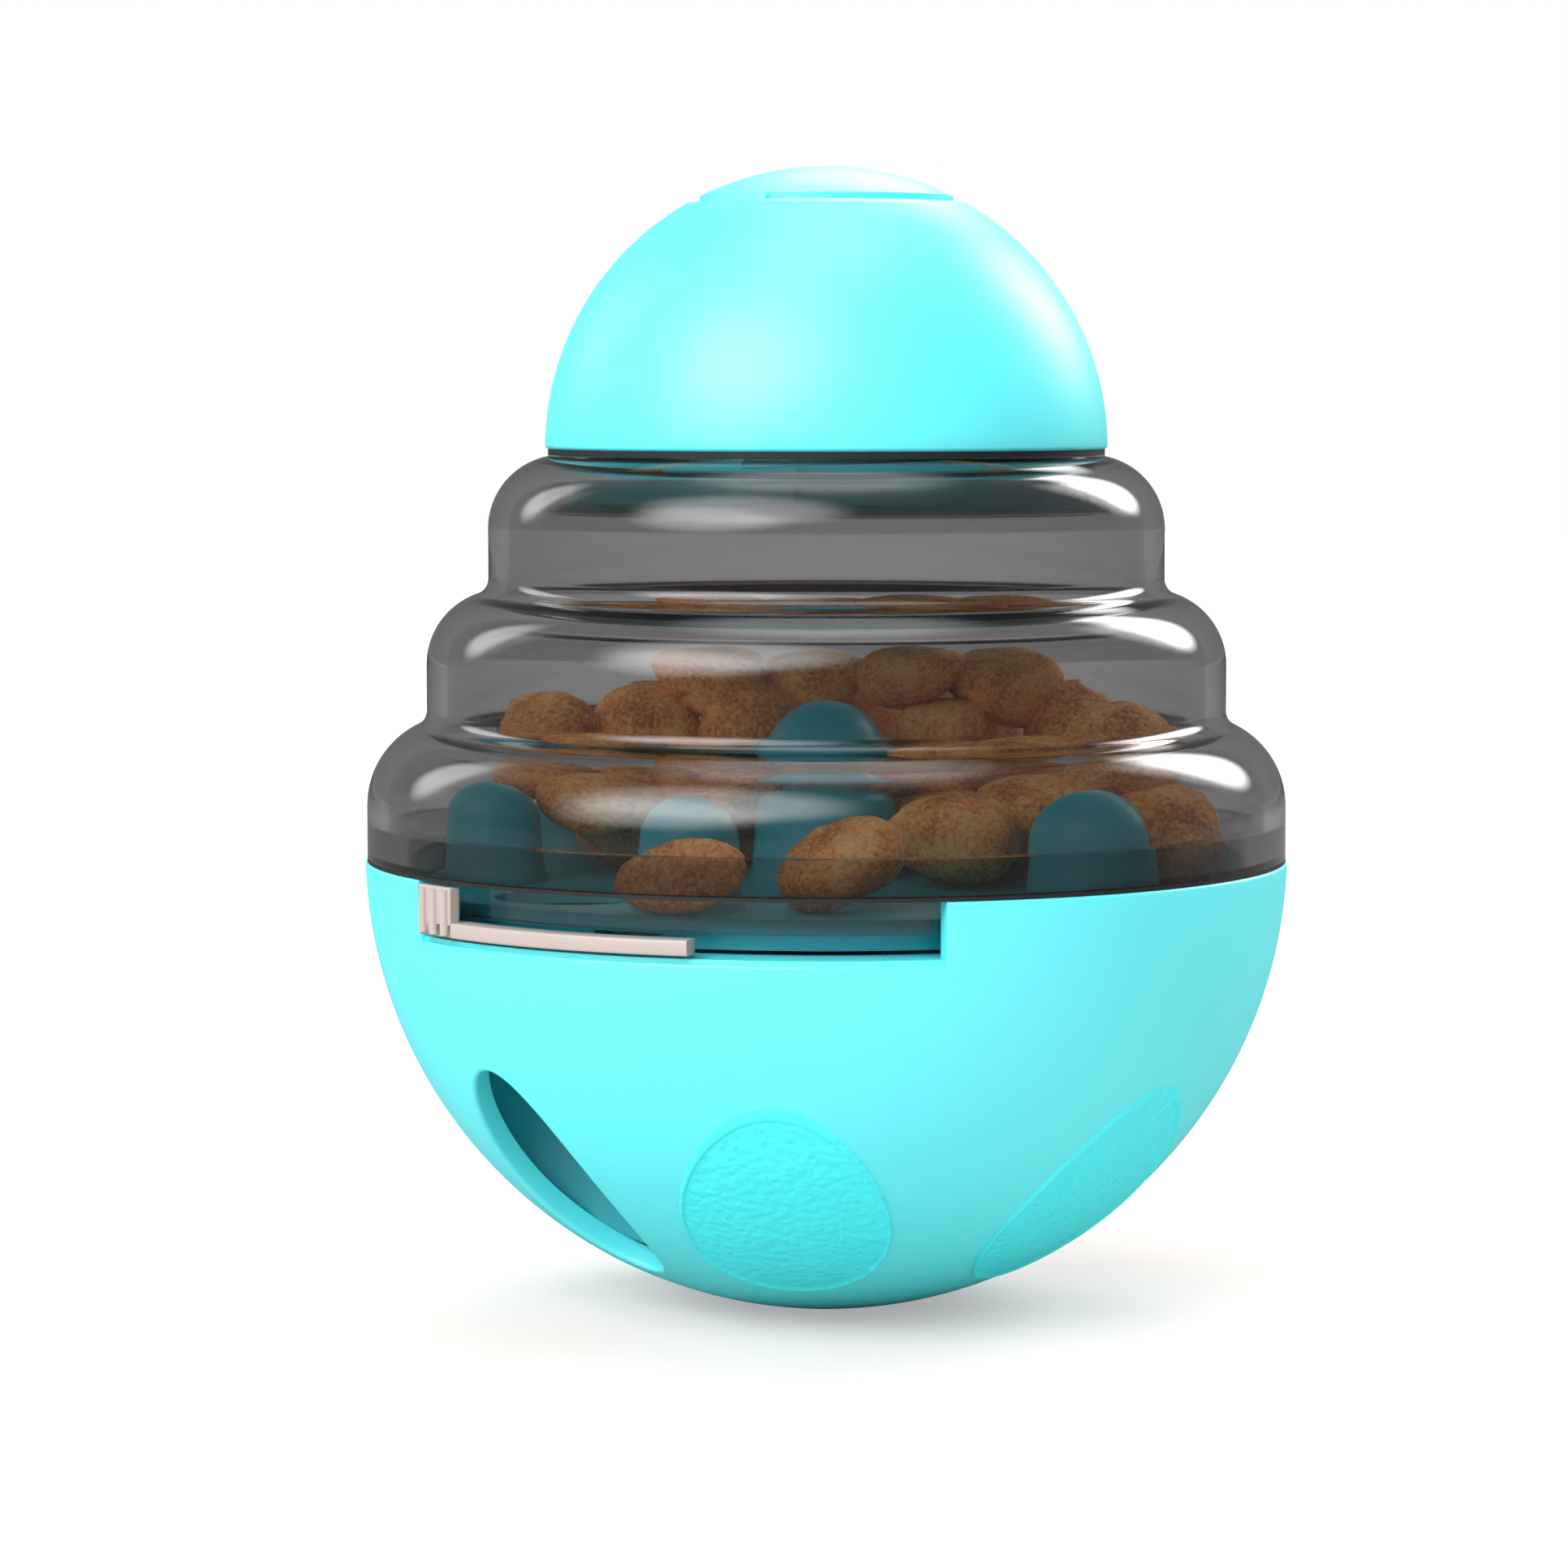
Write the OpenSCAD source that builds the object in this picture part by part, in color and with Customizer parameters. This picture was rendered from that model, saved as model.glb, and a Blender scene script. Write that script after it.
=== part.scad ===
// Treat dispensing wobble toy: a weighted round cup, a stepped clear dome and a screw cap.
// Millimetres. +Z is up, the origin is the middle of the small flat that the cup stands on.
// Bearings are degrees round +Z from the front (-Y), positive towards the right (+X).

/* [Cup] */
// Outer radius of the round cup
cup_r = 50; // [46:0.5:60]
// Wall of the cup
cup_wall = 2.4; // [2:0.1:3]
// Radius of the flat under the cup
foot_r = 7; // [5:0.5:12]
// How far the rim lies below the cup's widest level
rim_drop = 1; // [0.5:0.1:2]
// Wall left outside the dome's seat at the rim
seat_wall = 2.6; // [2.2:0.1:3.2]
// Radius of the pillar in the middle of the cup
pillar_r = 6; // [5:0.1:7]

/* [Rim notch] */
// Depth of the notch below the rim
notch_depth = 5.8; // [5:0.1:8]
// Bearing of the notch's left end
notch_left = -58.5; // [-66:0.5:-50]
// Bearing of the notch's right end
notch_right = 13.5; // [5:0.5:20]
// Thickness of the shelf inside the cup, level with the notch
shelf_t = 1.8; // [1.2:0.1:2.4]

/* [Chutes] */
// Bearing of the first chute, the second is opposite
chute_bearing = -51; // [-56:0.5:-48]
// Distance from the cup's outer radius to a chute's middle
chute_inset = 15; // [14:0.1:16]
// Inner radius of a chute
chute_r = 10; // [9:0.1:10.5]
// Wall of a chute
chute_wall = 1.4; // [1:0.1:1.6]
// Angle of an exit slot below the cup's widest level
slot_angle = 43; // [41:0.5:45]
// Length of an exit slot along the cup
slot_l = 30; // [25:0.5:31]
// Width of an exit slot
slot_w = 13.5; // [11:0.5:15]

/* [Grip pads] */
// Radius of a grip pad seen from above
pad_r = 11; // [8:0.5:12]
// Distance from the cup's outer radius to a pad's middle
pad_inset = 16.2; // [15:0.1:18]
// How deep a pad is let into the cup
pad_t = 0.8; // [0.5:0.1:1.2]
// How far a pad stands proud
pad_proud = 0.15; // [0.1:0.05:0.3]
// Bearing of the front pad, with another behind it
pad_front = -7.5; // [-12:0.5:-3]
// Bearing of the right pad, with another across from it
pad_right = 51; // [46:0.5:56]

/* [Ballast] */
// Outer radius of the ballast weight
ballast_r = 21.5; // [18:0.5:22]
// Height of the ballast's top above the foot
ballast_top = 14; // [12:0.5:18]
// Thickness of the ballast cover
cover_t = 1.6; // [1.2:0.1:2.4]
// Radius of a screw boss
boss_r = 3.2; // [2.6:0.1:3.5]
// Bearing of the first of four cover screws
screw_bearing = -8; // [-12:1:-4]
// Radius of a screw's shank
screw_r = 1; // [0.8:0.1:1.4]
// Length of a screw's shank
screw_l = 7; // [5:0.5:8]
// Radius of a screw's head
screw_head_r = 2.4; // [2:0.1:2.8]
// Height of a screw's head
screw_head_h = 1.4; // [1:0.1:2]

/* [Gate] */
// Thickness of the turning gate disc
gate_t = 1.5; // [1.2:0.1:2]
// Radius of the drop holes in gate and tray
drop_r = 8.5; // [6:0.1:8.8]
// How far the drop holes lie inwards of the chutes
drop_shift = 1.5; // [1:0.1:2]
// Height of the lever strip above the gate's underside
lever_h = 1.6; // [1.5:0.05:2.4]
// How far the lever stands proud of the cup
lever_proud = 0.3; // [0:0.05:0.8]
// Gap between the lever and the notch's left end, in degrees
lever_gap = 1; // [0.5:0.1:2]
// Bearing of the lever strip's right end
lever_right = -15; // [-20:0.5:-12]
// Width of the thumb tab, in degrees
tab_span = 8; // [6:0.5:10]
// Number of ribs on the thumb tab
tab_ribs = 3; // [2:1:4]
// Radius of the ribs on the thumb tab
tab_rib_r = 0.5; // [0.3:0.05:0.6]
// Length of the lever's tongue in the gate disc
tongue_l = 3; // [2:0.1:4]
// Width of that tongue, in degrees
tongue_span = 10; // [6:0.5:12]
// Outer radius of the friction washer
washer_r = 10; // [8.5:0.1:12]

/* [Maze tray] */
// Thickness of the tray floor
tray_t = 1.5; // [1.2:0.1:2]
// Width of the tray's feet
tray_foot_w = 1.1; // [0.9:0.1:1.4]
// Length of the tray's feet, in degrees
tray_foot_span = 45; // [30:1:50]
// Radius of the middle column
column_r = 8; // [7:0.1:9]
// Height of the middle column above the tray floor
column_h = 12.2; // [10:0.1:15]
// Round on the shoulder of the middle column
column_round = 3; // [2:0.1:3]
// Distance from the tray's edge to the middle of a post
post_inset = 8.9; // [7.5:0.1:10]
// Radius of the slim posts
post_r = 5; // [4:0.1:5.4]
// Radius of the stout posts
stout_post_r = 6.1; // [5.6:0.1:6.6]
// Height of the posts above the tray floor
post_h = 11.8; // [9:0.1:14]

/* [Tray knob] */
// Radius of the knob's skirt
knob_r = 7.4; // [6.5:0.1:8]
// Height of the knob above its neck
knob_h = 5.6; // [5:0.1:7]
// Height of the knob's sloping skirt
knob_skirt_h = 1.4; // [1:0.1:2]
// Radius of the knob's neck
knob_neck_r = 4.8; // [4:0.1:5]
// Height of the knob's neck
knob_neck_h = 1.5; // [1:0.1:3]
// Radius of the knob's stem
stem_r = 2.5; // [2:0.1:3]
// How far the stem reaches into the pillar
stem_reach = 10; // [6:0.5:14]

/* [Dome] */
// Wall of the dome
dome_wall = 2.2; // [1.8:0.1:2.4]
// How far the bottom tier lies inside the cup's outer radius
tier_inset = 0.2; // [0:0.1:0.6]
// How far the middle tier stands out past the top tier
middle_step = 6.7; // [6:0.1:7.2]
// How far the top tier stands out past the cap
top_step = 6.2; // [5:0.1:7]
// Straight height of the bottom tier
bottom_h = 5.5; // [5:0.1:7]
// Rise from the bottom tier's shoulder to the middle tier's
middle_rise = 15.2; // [14:0.1:17]
// Rise from the middle tier's shoulder to the top tier's
top_rise = 14.6; // [13:0.1:17]
// Shoulder radius of the bottom tier
bottom_shoulder = 9.5; // [8.5:0.1:10]
// Shoulder radius of the middle tier
middle_shoulder = 8; // [7.5:0.1:8.5]
// Shoulder radius of the top tier
top_shoulder = 8; // [7.5:0.1:9]
// Fillet in the creases between tiers
crease_r = 1.8; // [1:0.1:2.5]
// Wall of the spigot that enters the cup
spigot_wall = 1.6; // [1.4:0.1:2]
// Height of the thick band at the dome's foot
band_h = 3.7; // [3:0.1:5]
// Wall of the neck's collar
neck_wall = 1.6; // [1.2:0.1:2]
// Length of the neck's collar
neck_l = 6; // [5.5:0.1:7]
// Height of the flat land that the cap's gasket lies on
land_h = 1; // [0.6:0.1:1.4]

/* [Cap] */
// Outer radius of the half-round cap
cap_r = 30.4; // [28:0.1:32]
// Wall of the cap
cap_wall = 2; // [1.6:0.1:2.2]
// How far the neck's bore lies inside the cap's outer radius
neck_inset = 1.2; // [1:0.1:1.4]
// Wall of the cap's skirt
skirt_wall = 1.8; // [1.4:0.1:2.2]
// Length of the cap's skirt below the cap
skirt_l = 5.4; // [5:0.1:6]
// Height of the finger ledges below the top of the cap
ledge_drop = 4; // [3:0.1:4.5]
// Depth of the finger ledges
ledge_depth = 1.4; // [0.8:0.1:1.6]
// Bearing where the front finger ledge starts
ledge_start = -27; // [-40:1:-10]
// Length of a finger ledge, in degrees
ledge_span = 127; // [80:1:150]

/* [Twist lock] */
// Room between the cap's skirt and the neck's bore
lock_depth = 1.2; // [1:0.1:1.6]
// Rise of the cap in one turn
cap_lead = 12; // [10:0.5:13]
// Number of lugs on the cap
lug_count = 3; // [2:1:3]
// Width of a lug, in degrees
lug_span = 11; // [8:1:14]
// Height of a lug
lug_h = 1.6; // [1.2:0.1:1.8]
// Length of a ramp in the neck, in degrees
ramp_span = 50; // [40:1:56]
// Height of a ramp
ramp_h = 1; // [0.8:0.1:1.2]
// Bearing of the first lug
lug_bearing = -12; // [-20:1:20]

/* [Seals] */
// Thickness of the seal on the cup's rim
rim_seal_t = 0.4; // [0.3:0.05:0.8]
// Thickness of the gasket under the cap
gasket_t = 0.6; // [0.4:0.05:0.8]

/* [Fits] */
// Gap between pieces that move past each other
run_gap = 0.3; // [0.25:0.05:0.35]
// Gap round pieces that are let into each other
seat_gap = 0.1; // [0.05:0.05:0.2]
// Gap round the tray, and between its feet and the gate
tray_gap = 0.5; // [0.4:0.05:0.7]

/* [Hidden] */
$fn = 96;

aqua = "#5CF2F0";
deep_aqua = "#2E9CA8";
smoke = [0.3, 0.3, 0.31, 0.45];
pale_grey = "#CFC6C4";
steel_grey = "#8A8D90";
dark_rubber = "#2B2D2F";

// A length that reaches past any face it cuts
past = 1;
// How far joined volumes run into each other
join = 0.4;

// Levels, from the foot upwards. The first is rounded to a micrometre, so that faces meet exactly
cup_z = round(1000 * sqrt(cup_r * cup_r - foot_r * foot_r)) / 1000;
rim_z = cup_z - rim_drop;
shelf_z = rim_z - notch_depth;
notch_z = shelf_z - seat_gap;
gate_z = shelf_z + run_gap;
gate_top = gate_z + gate_t;
tray_z = gate_top + run_gap;
floor_z = tray_z + tray_t;
lever_top = gate_z + lever_h;
spigot_z = max(lever_top, gate_top) + run_gap;
dome_z = rim_z + rim_seal_t;
tier_z = [dome_z + bottom_h, dome_z + bottom_h + middle_rise, dome_z + bottom_h + middle_rise + top_rise];
tier_shoulder = [bottom_shoulder, middle_shoulder, top_shoulder];
dome_top = tier_z[2] + top_shoulder;
cap_z = dome_top + gasket_t;
cover_z = ballast_top + run_gap;

// Radii that pieces share where they fit together
cup_in = cup_r - cup_wall;
seat_r = cup_r - seat_wall;
spigot_r = seat_r - run_gap;
spigot_in = spigot_r - spigot_wall;
tray_r = spigot_in - tray_gap;
gate_r = tray_r - tray_foot_w - tray_gap;
lever_in = seat_r + seat_gap;
pillar_hole = stem_r + run_gap;
tier_r = [cup_r - tier_inset, cap_r + top_step + middle_step, cap_r + top_step];
neck_r = cap_r - neck_inset;
skirt_r = neck_r - lock_depth;
gasket_r = cap_r - run_gap;

// Distances from the axis
chute_offset = cup_r - chute_inset;
drop_offset = chute_offset - drop_shift;
pad_offset = cup_r - pad_inset;
post_offset = tray_r - post_inset;
screw_offset = ballast_r + run_gap + boss_r + screw_r;

// Bearings
lever_left = notch_left + lever_gap;
pads = [pad_front, pad_right, pad_front + 180, pad_right + 180];
chutes = [chute_bearing, chute_bearing + 180];
screws = [for (turn = [0:3]) screw_bearing + 90 * turn];
slim_posts = [-23, -85, -129, 97];
stout_posts = [48, 165];
tray_feet = [42, 150, -135];

// Middle level of the ramps in the neck, and of the lugs below their low ends
ramp_mid = dome_top - ramp_h / 2 - cap_lead * ramp_span / 720 - run_gap / 2;
lug_mid = ramp_mid - ramp_h / 2 - lug_h / 2 - run_gap - cap_lead * (ramp_span - lug_span) / 720;

// Turns a drawing to a bearing, with its +X pointing outwards
module at_bearing(bearing, out = 0, up = 0) {
  rotate([0, 0, bearing - 90]) translate([out, 0, up]) children();
}

// Part of a ring, from a bearing onwards
module ring_part(r_in, r_out, low, high, from, span) {
  rotate([0, 0, from - 90])
    rotate_extrude(angle = span)
      translate([r_in, low]) square([r_out - r_in, high - low]);
}

// A whole flat ring
module ring(r_in, r_out, low, high) {
  difference() {
    translate([0, 0, low]) cylinder(r = r_out, h = high - low);
    translate([0, 0, low - past]) cylinder(r = r_in, h = high - low + 2 * past);
  }
}

// A ball round the cup's middle
module cup_ball(r) {
  translate([0, 0, cup_z]) sphere(r = r);
}

// An exit slot, cut square to the cup's wall
module exit_slot(bearing) {
  inside = sqrt(cup_in * cup_in - slot_l * slot_l / 4) - past;
  translate([0, 0, cup_z])
    at_bearing(bearing)
      rotate([0, 90 + slot_angle, 0])
        translate([0, 0, inside])
          scale([slot_l / slot_w, 1, 1]) cylinder(d = slot_w, h = cup_r + past - inside);
}

// A layer of the cup's skin over a round patch: a grip pad, or the recess that it lies in
module skin_patch(bearing, r, inner, outer) {
  intersection() {
    difference() {
      cup_ball(outer);
      cup_ball(inner);
    }
    at_bearing(bearing, pad_offset) cylinder(r = r, h = cup_z);
  }
}

// A sector of a screw thread, taken as part of a tilted ring
module thread_part(r_in, r_out, height, bearing, span, level) {
  tilt = atan(cap_lead / (PI * (r_in + r_out)));
  at_bearing(bearing, 0, level)
    rotate([tilt, 0, 0])
      rotate([0, 0, -span / 2])
        rotate_extrude(angle = span)
          translate([r_in, -height / 2]) square([r_out - r_in, height]);
}

// One tier of the dome in section, thinned by a wall
module tier(index, wall, low) {
  r = tier_r[index] - wall;
  shoulder = tier_shoulder[index] - wall;
  translate([0, low]) square([r, tier_z[index] - low]);
  translate([0, tier_z[index]]) square([r - shoulder, shoulder]);
  translate([r - shoulder, tier_z[index]]) circle(r = shoulder);
}

// The fillet where a tier stands on the shoulder of the one below it
module crease(index, wall) {
  r = tier_r[index + 1] - wall;
  fillet = crease_r + wall;
  reach = tier_shoulder[index] + crease_r;
  hub = [tier_r[index] - tier_shoulder[index], tier_z[index]];
  centre = [r + fillet, hub[1] + sqrt(pow(reach, 2) - pow(r + fillet - hub[0], 2))];
  difference() {
    polygon([[r - past, centre[1]], centre, hub, [r - past, hub[1]]]);
    translate(centre) circle(r = fillet);
  }
}

// The dome's outline in section, thinned by a wall
module dome_outline(wall, low) {
  intersection() {
    union() {
      tier(0, wall, low);
      tier(1, wall, tier_z[0]);
      tier(2, wall, tier_z[1]);
      crease(0, wall);
      crease(1, wall);
    }
    translate([0, low]) square([cup_r, dome_top]);
  }
}

// The middle column, with a rounded shoulder
module column(height) {
  shoulder_z = height - column_round;
  rotate_extrude() {
    square([column_r, shoulder_z]);
    square([column_r - column_round, height]);
    translate([column_r - column_round, shoulder_z]) circle(r = column_round);
  }
}

// A round-topped post
module post(r, height) {
  rotate_extrude() {
    square([r, height - r]);
    translate([0, height - r]) intersection() {
      circle(r = r);
      square(r);
    }
  }
}

// What stands inside the cup: shelf, chute walls, pillar and screw bosses
module cup_fittings() {
  intersection() {
    cup_ball(cup_r - cup_wall / 2);
    union() {
      ring(gate_r, cup_r, shelf_z - shelf_t, shelf_z);
      cylinder(r = pillar_r, h = tray_z);
      for (bearing = chutes)
        at_bearing(bearing, chute_offset) cylinder(r = chute_r + chute_wall, h = shelf_z - join);
      for (bearing = screws)
        at_bearing(bearing, screw_offset) cylinder(r = boss_r, h = cover_z);
    }
  }
}

module base_cup() {
  color(aqua) difference() {
    intersection() {
      union() {
        difference() {
          cup_ball(cup_r);
          cup_ball(cup_in);
        }
        cup_fittings();
      }
      cylinder(r = cup_r + past, h = rim_z);
    }
    ring(tray_r, seat_r, shelf_z, rim_z + past);
    ring_part(seat_r - join, cup_r + past, notch_z, rim_z + past, notch_left, notch_right - notch_left);
    for (bearing = chutes) {
      intersection() {
        cup_ball(cup_in);
        at_bearing(bearing, chute_offset) cylinder(r = chute_r, h = shelf_z + past);
      }
      exit_slot(bearing);
    }
    for (bearing = pads) skin_patch(bearing, pad_r + seat_gap, cup_r - pad_t, cup_r + past);
    translate([0, 0, tray_z - stem_reach - run_gap])
      cylinder(r = pillar_hole, h = stem_reach + run_gap + past);
    for (bearing = screws)
      at_bearing(bearing, screw_offset, cover_z + cover_t - screw_l - run_gap)
        cylinder(r = screw_r, h = screw_l);
  }
}

module grip_pad(bearing) {
  color(aqua) skin_patch(bearing, pad_r, cup_r - pad_t, cup_r + pad_proud);
}

module grip_pad_front() {
  grip_pad(pads[0]);
}

module grip_pad_right() {
  grip_pad(pads[1]);
}

module grip_pad_rear() {
  grip_pad(pads[2]);
}

module grip_pad_left() {
  grip_pad(pads[3]);
}

module ballast() {
  color(steel_grey) intersection() {
    cup_ball(cup_in - seat_gap);
    ring(pillar_r + run_gap, ballast_r, 0, ballast_top);
  }
}

module ballast_cover() {
  color(deep_aqua) difference() {
    union() {
      translate([0, 0, cover_z - seat_gap]) cylinder(r = ballast_r, h = cover_t + 2 * seat_gap);
      for (bearing = screws) {
        at_bearing(bearing, screw_offset, cover_z) cylinder(r = boss_r, h = cover_t);
        at_bearing(bearing, 0, cover_z)
          translate([0, -screw_head_r, 0]) cube([screw_offset, 2 * screw_head_r, cover_t]);
      }
    }
    translate([0, 0, cover_z - past]) cylinder(r = pillar_r + run_gap, h = cover_t + 2 * past);
    for (bearing = screws)
      at_bearing(bearing, screw_offset, cover_z - past)
        cylinder(r = screw_r + seat_gap, h = cover_t + 2 * past);
  }
}

module cover_screws() {
  color(steel_grey) for (bearing = screws)
    at_bearing(bearing, screw_offset, cover_z + cover_t) {
      cylinder(r = screw_head_r, h = screw_head_h);
      translate([0, 0, -screw_l]) cylinder(r = screw_r - seat_gap / 2, h = screw_l + join);
    }
}

// The lever's tongue or, with a margin, its slot in the gate disc
module lever_tongue(margin, low, high) {
  middle = (lever_left + lever_right) / 2 + tab_span;
  spare = margin * 180 / (PI * gate_r);
  ring_part(gate_r - tongue_l - margin, lever_in + join, low, high,
            middle - tongue_span / 2 - spare, tongue_span + 2 * spare);
}

module gate_disc() {
  color(deep_aqua) difference() {
    ring(pillar_r + run_gap, gate_r, gate_z, gate_top);
    for (bearing = chutes)
      at_bearing(bearing, drop_offset, gate_z - past) cylinder(r = drop_r, h = gate_t + 2 * past);
    lever_tongue(seat_gap, gate_z - past, gate_top + past);
  }
}

module gate_lever() {
  lever_r = cup_r + lever_proud;
  tab_top = rim_z - run_gap;
  color(pale_grey) {
    ring_part(lever_in, lever_r, gate_z, lever_top, lever_left, lever_right - lever_left);
    ring_part(lever_in, lever_r, gate_z, tab_top, lever_left, tab_span);
    lever_tongue(0, gate_z + seat_gap, gate_top);
    for (rib = [1:tab_ribs])
      at_bearing(lever_left + tab_span * (rib - 1 / 2) / tab_ribs, lever_r, gate_z + seat_gap)
        cylinder(r = tab_rib_r, h = tab_top - gate_z - 2 * seat_gap);
  }
}

module gate_washer() {
  color(pale_grey) ring(pillar_r + run_gap, washer_r, gate_top, tray_z);
}

module maze_tray() {
  color(deep_aqua) difference() {
    union() {
      translate([0, 0, tray_z]) cylinder(r = tray_r, h = tray_t);
      for (from = tray_feet)
        ring_part(tray_r - tray_foot_w, tray_r - seat_gap, shelf_z, tray_z + join, from, tray_foot_span);
      translate([0, 0, floor_z - join]) column(column_h + join);
      for (bearing = slim_posts)
        at_bearing(bearing, post_offset, floor_z - join) post(post_r, post_h + join);
      for (bearing = stout_posts)
        at_bearing(bearing, post_offset, floor_z - join) post(stout_post_r, post_h + join);
    }
    for (bearing = chutes)
      at_bearing(bearing, drop_offset, tray_z - past) cylinder(r = drop_r, h = tray_t + 2 * past);
    translate([0, 0, tray_z - past]) cylinder(r = pillar_hole, h = tray_t + column_h + 2 * past);
  }
}

module tray_knob() {
  column_top = floor_z + column_h;
  knob_z = column_top + knob_neck_h;
  crown_r = knob_r - knob_skirt_h;
  color(deep_aqua) {
    translate([0, 0, tray_z - stem_reach]) cylinder(r = stem_r, h = knob_z - tray_z + stem_reach + join);
    translate([0, 0, column_top]) cylinder(r = knob_neck_r, h = knob_neck_h + join);
    translate([0, 0, knob_z]) cylinder(r1 = knob_r, r2 = crown_r, h = knob_skirt_h);
    translate([0, 0, knob_z]) intersection() {
      translate([0, 0, knob_h - crown_r]) sphere(r = crown_r);
      cylinder(r = crown_r + past, h = knob_h);
    }
  }
}

module rim_seal() {
  color(dark_rubber) ring(spigot_r + run_gap, tier_r[0], rim_z, dome_z);
}

module dome() {
  first_ramp = lug_bearing + (ramp_span - lug_span) / 2;
  color(smoke) {
    rotate_extrude() {
      difference() {
        dome_outline(0, dome_z);
        dome_outline(dome_wall, dome_z - past);
        translate([0, dome_z - past]) square([neck_r, dome_top]);
      }
      translate([spigot_in, spigot_z]) square([spigot_r - spigot_in, dome_z + band_h - spigot_z]);
      translate([spigot_in, dome_z]) square([tier_r[0] - dome_wall / 2 - spigot_in, band_h]);
      translate([neck_r, dome_top - neck_l]) square([neck_wall, neck_l - land_h / 2]);
      translate([neck_r, dome_top - land_h]) square([gasket_r - neck_r, land_h]);
    }
    for (turn = [0:lug_count - 1])
      thread_part(skirt_r + run_gap, neck_r + join, ramp_h, first_ramp + turn * 360 / lug_count,
                  ramp_span, ramp_mid);
  }
}

module cap_gasket() {
  color(dark_rubber) ring(skirt_r + run_gap, gasket_r, dome_top, cap_z);
}

module cap() {
  ledge_z = cap_z + cap_r - ledge_drop;
  ledge_r = sqrt(pow(cap_r, 2) - pow(cap_r - ledge_drop, 2)) - ledge_depth;
  skirt_in = skirt_r - skirt_wall;
  cap_in = cap_r - cap_wall;
  color(aqua) {
    difference() {
      intersection() {
        translate([0, 0, cap_z]) sphere(r = cap_r);
        translate([0, 0, cap_z]) cylinder(r = cap_r + past, h = cap_r + past);
      }
      translate([0, 0, cap_z]) sphere(r = cap_in);
      for (turn = [0, 180])
        ring_part(ledge_r, cap_r, ledge_z, cap_z + cap_r + past, ledge_start + turn, ledge_span);
    }
    ring(skirt_in, skirt_r, cap_z - skirt_l, cap_z + join);
    ring(skirt_in, cap_in + join, cap_z, cap_z + skirt_wall);
    for (turn = [0:lug_count - 1])
      thread_part(skirt_r - join, neck_r - run_gap, lug_h, lug_bearing + turn * 360 / lug_count,
                  lug_span, lug_mid);
  }
}

base_cup();
grip_pad_front();
grip_pad_right();
grip_pad_rear();
grip_pad_left();
ballast();
ballast_cover();
cover_screws();
gate_disc();
gate_lever();
gate_washer();
maze_tray();
tray_knob();
rim_seal();
dome();
cap_gasket();
cap();
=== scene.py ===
"""Looks of the treat dispensing wobble toy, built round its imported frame.

Metres, +Z up, the front is -Y. A bearing is measured in degrees round +Z from the front,
positive towards +X, as in the part's source.
"""

from __future__ import annotations

import logging
import math
import random
from dataclasses import dataclass, field
from enum import Enum

import bmesh
import bpy
from mathutils import Euler, Matrix, Vector, noise

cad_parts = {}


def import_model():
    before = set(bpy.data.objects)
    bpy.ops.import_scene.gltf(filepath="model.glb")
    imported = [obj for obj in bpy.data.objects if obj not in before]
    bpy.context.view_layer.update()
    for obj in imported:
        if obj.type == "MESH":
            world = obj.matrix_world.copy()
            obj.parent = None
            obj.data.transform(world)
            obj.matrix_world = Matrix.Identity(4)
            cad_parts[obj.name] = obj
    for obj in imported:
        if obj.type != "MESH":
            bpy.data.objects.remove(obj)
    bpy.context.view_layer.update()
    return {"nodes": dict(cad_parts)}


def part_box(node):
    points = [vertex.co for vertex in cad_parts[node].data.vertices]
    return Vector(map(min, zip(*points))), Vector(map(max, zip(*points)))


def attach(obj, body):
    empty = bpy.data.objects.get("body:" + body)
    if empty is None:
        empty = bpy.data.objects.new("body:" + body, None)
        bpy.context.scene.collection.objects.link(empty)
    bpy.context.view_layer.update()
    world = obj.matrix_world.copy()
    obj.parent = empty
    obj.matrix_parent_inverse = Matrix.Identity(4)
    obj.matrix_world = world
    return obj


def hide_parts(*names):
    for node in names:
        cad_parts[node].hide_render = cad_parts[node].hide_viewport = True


MM = 0.001
LOG = logging.getLogger("wobble_toy")
MERGE_DISTANCE = 0.002 * MM
SHARP_ANGLE = math.radians(38)
FULL_TURN = 360.0
WHITE = "#FFFFFF"
BLACK = "#000000"

Mesh = bmesh.types.BMesh
Vert = bmesh.types.BMVert
Edge = bmesh.types.BMEdge
Piece = bpy.types.Object
Material = bpy.types.Material
NodeTree = bpy.types.NodeTree
Socket = bpy.types.NodeSocket


class Body(Enum):
    """The moving bodies of the frame."""

    BASE = "base"
    GATE = "gate"
    DOME = "dome"
    CAP = "cap"


class Slot(Enum):
    """Material slots of the record, passed along with new pieces."""

    AQUA = "aqua_abs"
    GRIP = "aqua_tpe"
    DEEP_AQUA = "deep_aqua_abs"
    PALE_GREY = "pale_grey_abs"
    SMOKE = "smoke_clear"


def top_of(node: str) -> float:
    """Height of a node's top."""
    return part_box(node)[1].z


def foot_of(node: str) -> float:
    """Height of a node's underside."""
    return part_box(node)[0].z


def half_width(node: str) -> float:
    """Half of a node's width along X."""
    low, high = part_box(node)
    return (high.x - low.x) / 2


def linear(hex_colour: str) -> tuple[float, float, float, float]:
    """Turns an sRGB hex colour into linear RGBA.

    Args:
        hex_colour: Six hex digits with a leading hash.

    Returns:
        Linear red, green, blue and an alpha of 1.
    """
    channels = [int(hex_colour[i : i + 2], 16) / 255 for i in (1, 3, 5)]
    red, green, blue = (c / 12.92 if c <= 0.04045 else ((c + 0.055) / 1.055) ** 2.4 for c in channels)
    return red, green, blue, 1.0


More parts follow.
